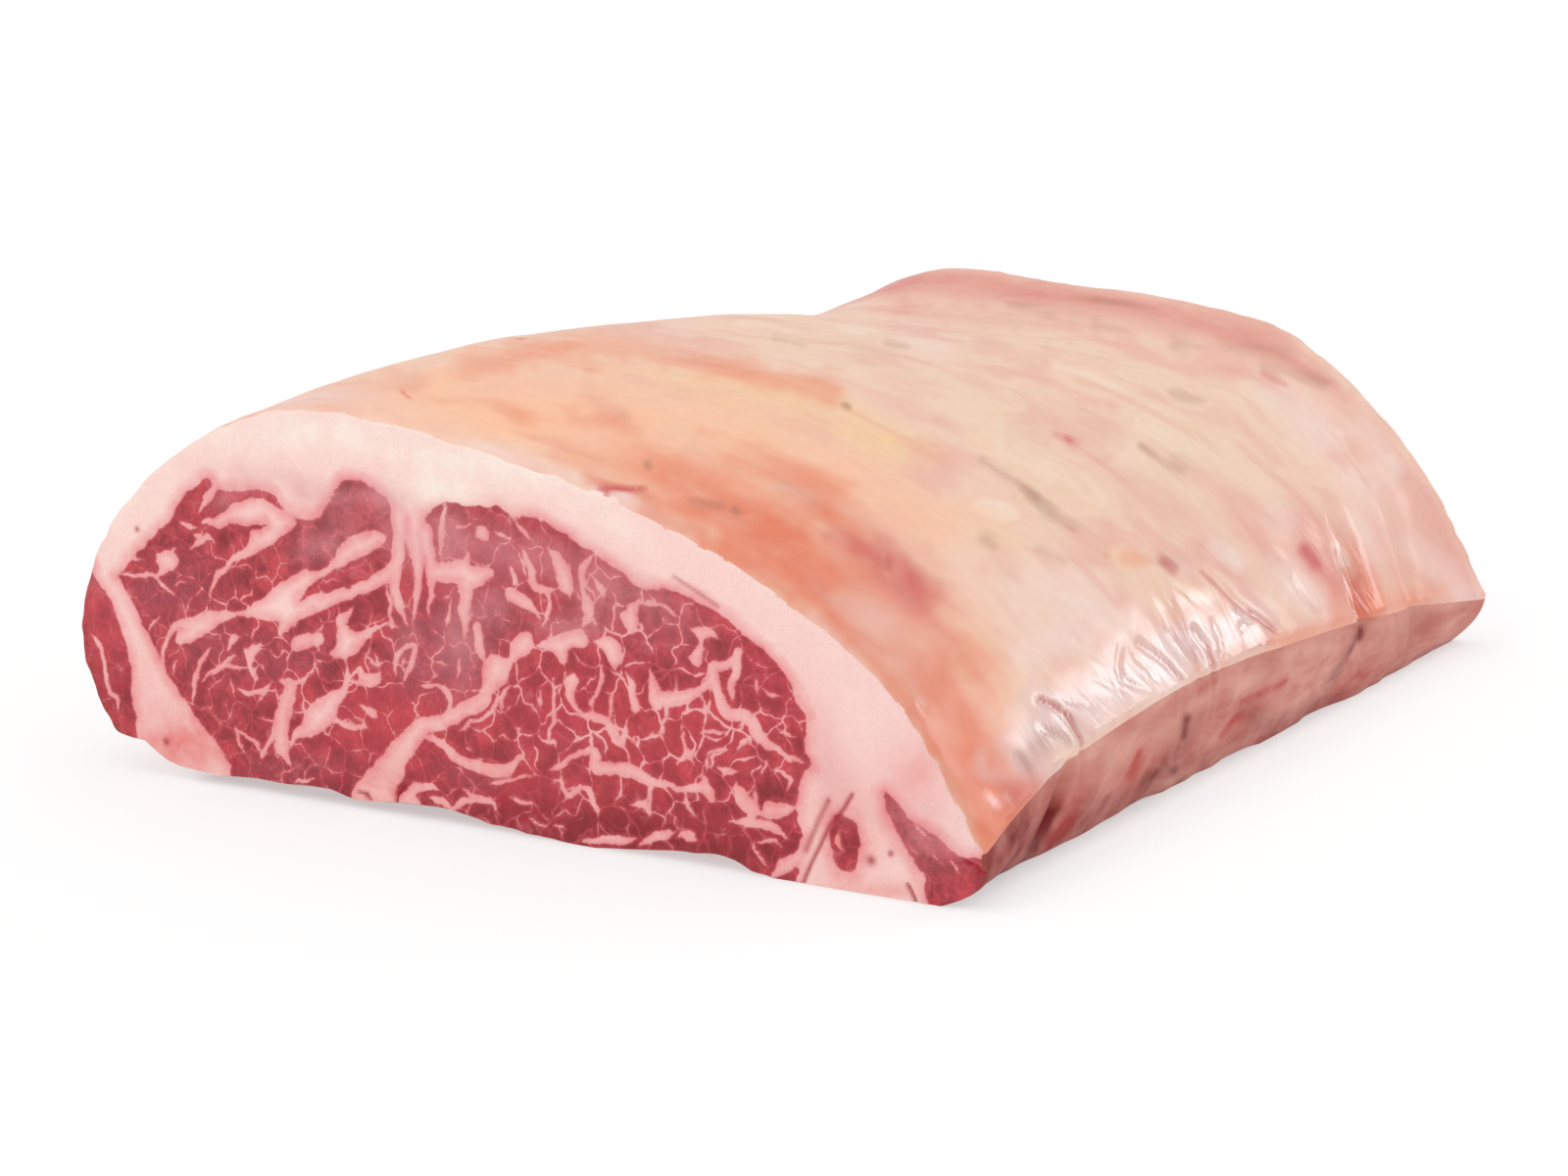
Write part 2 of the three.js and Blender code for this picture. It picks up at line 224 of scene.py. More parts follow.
def grain(u, v, seed):  # smooth noise from -1 to 1, with one cell per unit
    size = 97
    table = np.random.default_rng(seed).uniform(-1, 1, (size, size))
    left, low = np.floor(u).astype(int), np.floor(v).astype(int)
    across, along = smoothstep(u - left, 0, 1), smoothstep(v - low, 0, 1)
    corners = [[table[(left + i) % size, (low + k) % size] for i in (0, 1)] for k in (0, 1)]
    near, far = (one * (1 - across) + other * across for one, other in corners)
    return near * (1 - along) + far * along


def waves(y, parts):  # smooth noise along the loin, from shares, lengths and seeds
    return sum(share * grain(y / size, 0 * y, seed) for share, size, seed in parts)


def distanceToPath(x, y, path):  # to an open path, or to its edge where its points have a width
    best = np.full(np.shape(x), 1e9)
    for start, end in zip(path[:-1], path[1:]):
        rx, ry = end[0] - start[0], end[1] - start[1]
        s = np.clip(((x - start[0]) * rx + (y - start[1]) * ry) / max(rx * rx + ry * ry, 1e-9), 0, 1)
        apart = np.hypot(x - start[0] - s * rx, y - start[1] - s * ry)
        if len(start) > 2:
            apart = apart - (start[2] + s * (end[2] - start[2])) / 2
        best = np.minimum(best, apart)
    return best


tailFrom = 60  # x beyond which the tail begins

relief = {
    "cutEdgeRound": 1, "cutEdgeDepth": 3, "calm": 6, "fade": 12,
    "rolling": (0.7, 46, 61),  # depth, across, along
    "dents": [  # x, y, reach in x, reach in y, depth; a negative one stands proud
        (72, -102, 15, 12, 2.4), (-20, 84, 46, 20, 1.6), (-2, -106, 38, 15, -1.6), (10, 136, 75, 8, -2),
        (98, -20, 10, 30, -1.6), (96, 78, 13, 15, -2.4), (98, 118, 11, 13, -1.6),
    ],
    "creases": [  # from, to, width, depth
        ((52, -30), (106, -33), 5, 1.4), ((76, 84), (112, 66), 5, 2.6), ((88, 112), (112, 96), 4, 1.8),
    ],
    # the trimmed side: its belly, its wrinkles, and the plump corner beside the near cut
    "sideBelly": 2, "cornerFull": (5, 20), "sideWrinkles": [(3.4, 12, 3, 0.3, 21), (11, 14, 2, 0.7, 22)],
    "sideSlits": [  # y, width, depth, slant
        (-104, 2.6, 3.0, 12), (-6, 8, 1.4, 8), (58, 4.4, 0.7, 20), (104, 5, 1.2, 0),
    ],
    "slitEnds": (0.5, 0.92),  # shares of the height between which a slit closes
    # the lip over that side is wavy, and its foot wanders sideways and lifts off the table: mm, waves
    "lipWave": (0.8, [(1, 12, 43), (0.5, 5, 44)]), "lipReach": 5,
    "footAside": (1.3, [(0.8, 23, 41), (0.3, 7, 45)]), "footLift": (1.6, [(1, 26, 42)]),
    "film": {  # the small wrinkles of the wet film: where they lie, how they fan and bend
        "height": (31, 7), "starts": (-116, -96), "ends": (-22, 2), "fromX": 80,
        "slant": 0.9, "bend": (6, 19), "spacing": 2.2, "long": 14, "depth": 0.12,
    },
    "wrinkles": [  # creases of the wet film: path and width in pixels of the photograph, depth in mm
        ([(1062, 713), (1077, 720), (1091, 732), (1102, 750), (1105, 761)], 3.2, 0.9),
        ([(1041, 769), (1052, 787)], 3, 0.6), ([(1066, 741), (1091, 758)], 2.6, 0.4),
        ([(1160, 655), (1176, 666), (1193, 678), (1206, 691)], 2.8, 0.8),
        ([(1157, 670), (1171, 681), (1179, 692)], 2.4, 0.4),
        ([(1150, 697), (1165, 703), (1173, 706)], 2.6, 0.5),
        ([(1143, 659), (1140, 678), (1144, 697)], 2.6, 0.4),
        ([(1190, 640), (1204, 653), (1217, 670), (1223, 684)], 2.6, 0.7),
        ([(1217, 642), (1231, 659), (1239, 681)], 2.6, 0.8),
        ([(1236, 637), (1245, 653), (1247, 675)], 2.4, 0.5),
        ([(1258, 623), (1275, 631), (1264, 642)], 2.4, 0.5),
        ([(1225, 583), (1242, 598), (1258, 615), (1278, 629), (1300, 645)], 3, 0.8),
        ([(1368, 563), (1380, 590), (1390, 615), (1396, 633)], 3.4, 0.5),
        ([(1318, 590), (1330, 612), (1346, 628)], 3, 0.6),
        ([(1085, 712), (1112, 722), (1122, 738)], 2.4, 0.3),
        ([(1112, 690), (1135, 700), (1150, 716)], 2.6, 0.3),
    ],
    "fingerPrints": {
        "places": (-92, -44, 4, 52, 100), "width": 15, "depth": 2.2, "fromX": -62, "toX": 38, "skirt": 0.25,
    },
    "rimArches": [(53, 17, 3.4), (-13, 24, 3), (-66, 30, 2.6)],  # under the far cut: x, width, rise
    "archSkirt": 0.2,
    "nearFoot": [  # how far the foot of the marbled cut stands off the ground: x, rise
        (-98, 0), (-91, 0.3), (-85, 1.6), (-79, 2.1), (-71, 2.7), (-46, 3.2), (-39, 1.8), (-29, 2.6),
        (-19, 3.5), (-10, 2.5), (0, 1.2), (12, 0.4), (24, 0.1), (41, 2.1), (54, 3.3), (58, 2.5), (62, 0.5),
        (66, 0), (110, 0),
    ],
    "footRagged": (0.25, 3.2, 17), "footFrom": (-95, -80), "footTo": 66,  # height, spacing, seed; x
    "rimArchLength": 16, "baseBlend": 20,
    # what only the fine skin has: streaks that slant across the cap, as length, width and height
    "streakTurn": 45,
    "lobules": [(19, 12, 0.34), (10, 5, 0.16), (16, 2.6, 0.08)],
    "rimRagged": (0.32, 2.9, 5, 2.5),  # lumps on the edge of a cut: height, spacing round and along, reach
    "beads": [  # drops of fat on the rim: x, y, reach, height
        (29, -138.5, 2.6, 1.1), (34, -138, 1.8, 0.8), (24, -139, 2, 0.8), (15, -139.5, 2.4, 0.9),
        (-4, -139, 3, 0.5), (57, -137, 1.8, 0.6), (83, -137, 1.8, 0.7), (96, -137, 2, 0.6),
        (-104, -137, 3, 0.8),
    ],
    "nicks": [  # small knife and drying marks on the cap: from, to, width, depth
        ((57, -31), (71, -43), 1.3, 0.7), ((71, -43), (82, -38), 1.0, 0.6), ((82, -38), (94, -38), 1.2, 0.7),
        ((38, -126), (47, -120), 0.8, 0.6), ((22, -138), (30, -131), 0.9, 0.5),
        ((70, -97), (80, -106), 1.6, 0.8), ((64, -90), (72, -99), 1.4, 0.5),
    ],
}


def skinDepth(x, y, z):  # how far the skin is sunk below the frame's
    deep, across, along = relief["rolling"]
    depth = deep * np.sin(3 * x / across + y / along) * np.sin(3 * y / along - x / across)
    for atX, atY, reachX, reachY, deep in relief["dents"]:
        depth += deep * bell(np.hypot((x - atX) / reachX, (y - atY) / reachY))
    for start, end, width, deep in relief["creases"] + relief["nicks"]:
        depth += deep * bell(distanceToPath(x, y, [start, end]) / width)
    for atX, atY, reach, high in relief["beads"]:
        depth -= high * bell(np.hypot(x - atX, y - atY) / reach)
    px, py = inPhoto(x, y, z)
    for path, width, deep in relief["wrinkles"]:
        depth += deep * bell(distanceToPath(px, py, path) / width) * (x > tailFrom)
    film = relief["film"]
    atZ, reach = film["height"]
    place = bell((z - atZ) / reach) * smoothstep(y, *film["starts"]) * (1 - smoothstep(y, *film["ends"]))
    place = place * (x > film["fromX"])
    bend, bendSize = film["bend"]
    fan = (y + film["slant"] * z + bend * grain(y / bendSize, z / bendSize, 95)) / film["spacing"]
    return depth + place * film["depth"] * grain(fan, z / film["long"], 96)


def baseLift(x, y):  # how far the base stands off the table
    prints = relief["fingerPrints"]
    width = prints["width"]
    across = smoothstep(x, prints["fromX"], prints["fromX"] + width)
    across = across * (1 - smoothstep(x, prints["toX"] - width, prints["toX"]))
    lift = sum(hump(2 * (y - place) / width, prints["skirt"]) for place in prints["places"])
    lift = prints["depth"] * across * lift
    rim = np.maximum(0, 1 - (halfLength - np.abs(y)) / relief["rimArchLength"])
    foot = np.array(relief["nearFoot"], float)
    high, spacing, seed = relief["footRagged"]
    ragged = high * grain(x / spacing, 0 * x, seed) * smoothstep(x, *relief["footFrom"])
    near = np.maximum(np.interp(x, foot[:, 0], foot[:, 1]) + ragged, 0) * (x < relief["footTo"])
    skirt = relief["archSkirt"]
    far = sum(rise * hump(2 * (x - atX) / wide, skirt) for atX, wide, rise in relief["rimArches"])
    return lift + rim * rim * np.where(y < 0, near, far)


fine = {  # spacing of points in mm, numbers of points, and shares of a rounded edge that get a ring of points
    "around": 1.0, "along": 1.0, "overrun": 3, "side": 30, "base": 150, "cutStep": 0.5, "farStep": 1.0,
    "rim": (0.06, 0.15, 0.3, 0.65, 0.85), "wall": 2.5, "wallRings": 141,
}


def rimShares():
    even = np.linspace(0, 1, round(loinLength / fine["along"]) + 1)
    rims = np.array(fine["rim"]) * relief["cutEdgeDepth"] / loinLength
    return np.sort(np.concatenate([even, rims, 1 - rims]))


def skinSections(shares):  # skin, trimmed side and base as one closed line at each share of the length
    y = ((shares - 0.5) * loinLength)[:, None]
    s = np.maximum(0, 1 - (halfLength - np.abs(y)) / relief["cutEdgeDepth"])
    rim = relief["cutEdgeRound"] * (1 - np.sqrt(np.maximum(0, 1 - s * s)))
    skin = smoothLines(railsAt(skinStations, skinRails, shares), fine["around"])
    x, z = skin[..., 0], skin[..., 1]
    steps = np.hypot(np.diff(x), np.diff(z))
    run = np.concatenate([np.zeros((len(shares), 1)), np.cumsum(steps, axis=1)], axis=1)
    turn = math.radians(relief["streakTurn"])
    onStreak, offStreak = run * math.cos(turn) + y * math.sin(turn), y * math.cos(turn) - run * math.sin(turn)
    bumps = sum(
        high * grain(onStreak / long + 7 * i, offStreak / short, 11 + i)
        for i, (long, short, high) in enumerate(relief["lobules"])
    )
    calm = smoothstep(halfLength - np.abs(y), 0, relief["calm"])
    high, around, along, reach = relief["rimRagged"]
    ragged = high * grain(run / around, y / along, 23) * bell((halfLength - np.abs(y)) / reach)
    bumps = bumps * calm + ragged
    depth = -rim - (skinDepth(x, y + 0 * x, z) - bumps) * np.clip(z / relief["fade"], 0, 1)
    turn = np.gradient(skin, axis=1)
    turn /= np.linalg.norm(turn, axis=2, keepdims=True)
    skin = skin + np.stack([-turn[..., 1], turn[..., 0]], axis=2) * depth[..., None]
    lip = bell((run[:, -1:] - run) / relief["lipReach"]) * calm
    high, parts = relief["lipWave"]
    skin[..., 1] += high * waves(y, parts) * lip
    foot = railsAt(skinStations, [trimFoot], shares)[:, 0] - np.concatenate([rim, 0 * rim], axis=1)
    (aside, asideWaves), (lift, liftWaves) = relief["footAside"], relief["footLift"]
    wave = np.concatenate([aside * waves(y, asideWaves), lift * np.maximum(0, waves(y, liftWaves))], axis=1)
    foot = foot + wave * calm
    share = (np.arange(1, fine["side"]) / fine["side"])[None, :]
    full, reach = relief["cornerFull"]
    full = full * bell((y + halfLength) / reach) * share
    slits = relief["sideSlits"]
    slit = sum(deep * bell((y - at - lean * (0.5 - share)) / width) for at, width, deep, lean in slits)
    slit = slit * (1 - smoothstep(share, *relief["slitEnds"]))
    top = skin[:, -1]
    wrinkles = sum(
        high * grain((y + slant * share) / wide, share * rows, seed)
        for wide, slant, rows, high, seed in relief["sideWrinkles"]
    )
    out = (relief["sideBelly"] + full - slit + wrinkles * calm) * np.sin(np.pi * share)
    side = top[:, None] + (foot - top)[:, None] * share[..., None]
    side[..., 0] += out
    heel = skin[:, 0]
    share = (np.arange(1, fine["base"]) / fine["base"])[None, :]
    base = foot[:, None] + (heel - foot)[:, None] * share[..., None]
    nearHeel = np.maximum(0, 1 - (base[..., 0] - heel[:, :1]) / relief["baseBlend"]) ** 2
    base[..., 1] = heel[:, 1:] * nearHeel + baseLift(base[..., 0], y + 0 * base[..., 0])
    return np.concatenate([skin, side, foot[:, None], base], axis=1)


def solidFrom(name, points, faces):
    mesh = bpy.data.meshes.new(name)
    mesh.from_pydata((np.asarray(points) * mm).tolist(), [], faces)
    made = bpy.data.objects.new(name, mesh)
    bpy.context.collection.objects.link(made)
    return made


def loft(name, sections, y):  # a closed body through sections of equal length
    rings, n = sections.shape[:2]
    x, z = sections[0, :, 0], sections[0, :, 1]
    if np.sum(x * np.roll(z, -1) - np.roll(x, -1) * z) < 0:
        sections = sections[:, ::-1]
    along = np.repeat(y[:, None], n, 1)
    points = np.stack([sections[..., 0], along, sections[..., 1]], axis=2).reshape(-1, 3)
    k, i = np.meshgrid(np.arange(rings - 1), np.arange(n), indexing="ij")
    a, b = (k * n + i).ravel(), (k * n + (i + 1) % n).ravel()
    faces = np.stack([a, a + n, b + n, b], axis=1).tolist()
    far = (rings - 1) * n
    faces += [list(range(n)), list(range(far + n - 1, far - 1, -1))]
    return solidFrom(name, points, faces)


def tissueLoft(name, sections, shares, past=6):
    y = (shares - 0.5) * loinLength
    y[0] -= past
    y[-1] += past
    return loft(name, sections, y)


def cutBody(name, atFar, reliefAt, step):  # a block whose one end is a fine grid with the cut's relief
    wide, high, foot, deep = 240, 105, -8, 2 * halfLength + 60
    columns, rows = round(wide / step), round(high / step)
    x, z = np.meshgrid(
        np.linspace(-wide / 2, wide / 2, columns + 1), np.linspace(foot, high + foot, rows + 1)
    )
    end = 1 if atFar else -1
    y = end * (halfLength - reliefAt(x, z))
    points = np.stack([x, y, z], axis=2).reshape(-1, 3)
    n = columns + 1
    k, i = np.meshgrid(np.arange(rows), np.arange(columns), indexing="ij")
    a = (k * n + i).ravel()
    faces = np.stack([a, a + 1, a + n + 1, a + n], axis=1)
    corners = [
        (-wide / 2, foot), (wide / 2, foot), (wide / 2, high + foot), (-wide / 2, high + foot),
    ]
    back = len(points)
    points = np.concatenate([points, [(cx, -end * deep, cz) for cx, cz in corners]])
    low = list(range(columns + 1))
    right = [r * n + columns for r in range(rows + 1)]
    top = [rows * n + c for c in range(columns, -1, -1)]
    left = [r * n for r in range(rows, -1, -1)]
    walls = [
        low[::-1] + [back, back + 1], right[::-1] + [back + 1, back + 2],
        top[::-1] + [back + 2, back + 3], left[::-1] + [back + 3, back],
    ]
    faces = faces.tolist() + walls + [[back + 3, back + 2, back + 1, back]]
    if atFar:
        faces = [face[::-1] for face in faces]
    return solidFrom(name, points, faces)


def cutBy(target, tool, operation, name=None):  # with a name, the result is a new object and the target stays
    if name:
        made = target.copy()
        made.data = target.data.copy()
        made.name = made.data.name = name
        bpy.context.collection.objects.link(made)
        target = made
    knife = target.modifiers.new("knife", "BOOLEAN")
    knife.operation = operation
    knife.solver = "MANIFOLD"
    knife.object = tool
    done = bpy.data.meshes.new_from_object(target.evaluated_get(bpy.context.evaluated_depsgraph_get()))
    target.modifiers.clear()
    old = target.data
    target.data = done
    done.name = target.name
    bpy.data.meshes.remove(old)
    return target


# What shows at the cuts, read off the photograph in its own pixels, as strokes of (x, y, full width)
# and as outlines.
eyeTop = [
    (119, 589), (144, 559), (172, 533), (176, 522), (188, 505), (203, 493), (214, 489), (221, 499),
    (243, 500), (268, 501), (279, 505), (287, 518), (306, 524), (322, 525), (333, 512), (341, 499),
    (352, 490), (368, 492), (384, 500), (396, 514), (415, 533), (435, 526), (453, 514), (479, 516),
    (504, 516), (524, 526), (545, 529), (570, 542), (601, 562), (632, 583), (655, 600), (688, 603),
    (718, 617), (745, 634), (758, 647), (779, 665), (804, 693), (812, 718), (822, 733), (822, 772),
    (829, 782), (817, 792), (812, 813), (814, 836), (817, 860), (812, 905),
]
eyeFoot = [
    (236, 815), (234, 780), (212, 747), (190, 716), (172, 690), (152, 650), (136, 618),
]
sideLean = [
    (86, 560), (98, 590), (112, 610), (124, 640), (131, 670), (134, 700), (138, 730), (140, 757), (60, 757),
]
tailOval = [
    (858, 831), (872, 838), (876, 854), (875, 873), (868, 890), (857, 887), (851, 876), (847, 862),
    (845, 845), (850, 835),
]
tailWedge = [
    (903, 807), (916, 821), (926, 836), (940, 843), (957, 855), (971, 869), (985, 877), (1012, 874),
    (1012, 945), (952, 945), (946, 916), (943, 899), (937, 885), (923, 865), (908, 837), (900, 811),
]
paleLobes = {
    "upperRibbon": [
        (205, 534), (223, 524), (238, 513), (262, 509), (280, 517), (302, 533), (290, 547), (272, 559),
        (254, 569), (236, 576), (226, 587), (218, 604), (213, 611), (216, 597), (223, 582), (239, 566),
        (253, 554), (254, 543), (236, 538), (226, 543), (213, 539),
    ],
    "secondRibbon": [
        (244, 624), (272, 606), (295, 589), (310, 582), (334, 580), (343, 564), (348, 555), (376, 543),
        (394, 546), (387, 559), (361, 571), (325, 592), (305, 612), (325, 606), (361, 597), (389, 582),
        (403, 573), (401, 592), (376, 604), (341, 617), (305, 634), (284, 650), (284, 636), (264, 632),
        (245, 629),
    ],
    "ribbonFoot": [(203, 630), (193, 635), (180, 648), (182, 657), (203, 650), (223, 635)],
    "leftSpot": [
        (160, 566), (170, 561), (182, 569), (182, 576), (172, 582), (162, 588), (156, 589), (162, 579),
    ],
    "leftLeaf": [(249, 662), (267, 656), (258, 675), (260, 695), (255, 690), (253, 680)],
    "longLeaf": [
        (353, 680), (357, 695), (346, 718), (330, 746), (305, 755), (296, 764), (297, 751), (310, 736),
        (311, 723), (330, 710), (348, 698),
    ],
    "midLeaf": [
        (343, 631), (360, 619), (353, 636), (357, 644), (370, 644), (394, 634), (375, 652), (358, 670),
        (336, 670), (343, 658), (343, 644),
    ],
    "ridgeTop": [
        (487, 708), (491, 695), (494, 677), (504, 668), (517, 672), (523, 654), (535, 645), (544, 650),
        (540, 667), (522, 677), (517, 695), (504, 708), (489, 713),
    ],
    "notchKnot": [
        (438, 570), (458, 575), (474, 570), (476, 560), (480, 567), (481, 578), (504, 583), (499, 593),
        (481, 603), (476, 608), (468, 603), (468, 595), (443, 593), (438, 588),
    ],
    "greyPatch": [(545, 658), (570, 647), (596, 643), (599, 658), (583, 664), (574, 677), (564, 666)],
    "rightPatch": [(604, 654), (620, 649), (634, 662), (635, 677), (625, 681), (615, 667)],
    "highPatch": [(632, 629), (642, 618), (653, 613), (650, 629), (644, 648)],
    "starLeaf": [
        (702, 639), (720, 642), (735, 652), (717, 652), (716, 670), (710, 681), (701, 672), (710, 662),
        (710, 648),
    ],
    "lowFork": [(712, 802), (720, 790), (725, 800), (729, 819), (717, 811), (702, 805)],
    "notchLeft": [(300, 493), (310, 519), (323, 524), (341, 503), (330, 522), (312, 530), (290, 522)],
    "ridgeToe": [
        (379, 789), (363, 801), (359, 812), (368, 822), (404, 824), (404, 803), (413, 787), (400, 780),
    ],
    "toeFold": [
        (404, 822), (407, 812), (416, 804), (424, 798), (438, 799), (446, 806), (434, 807), (424, 813),
        (430, 824),
    ],
}
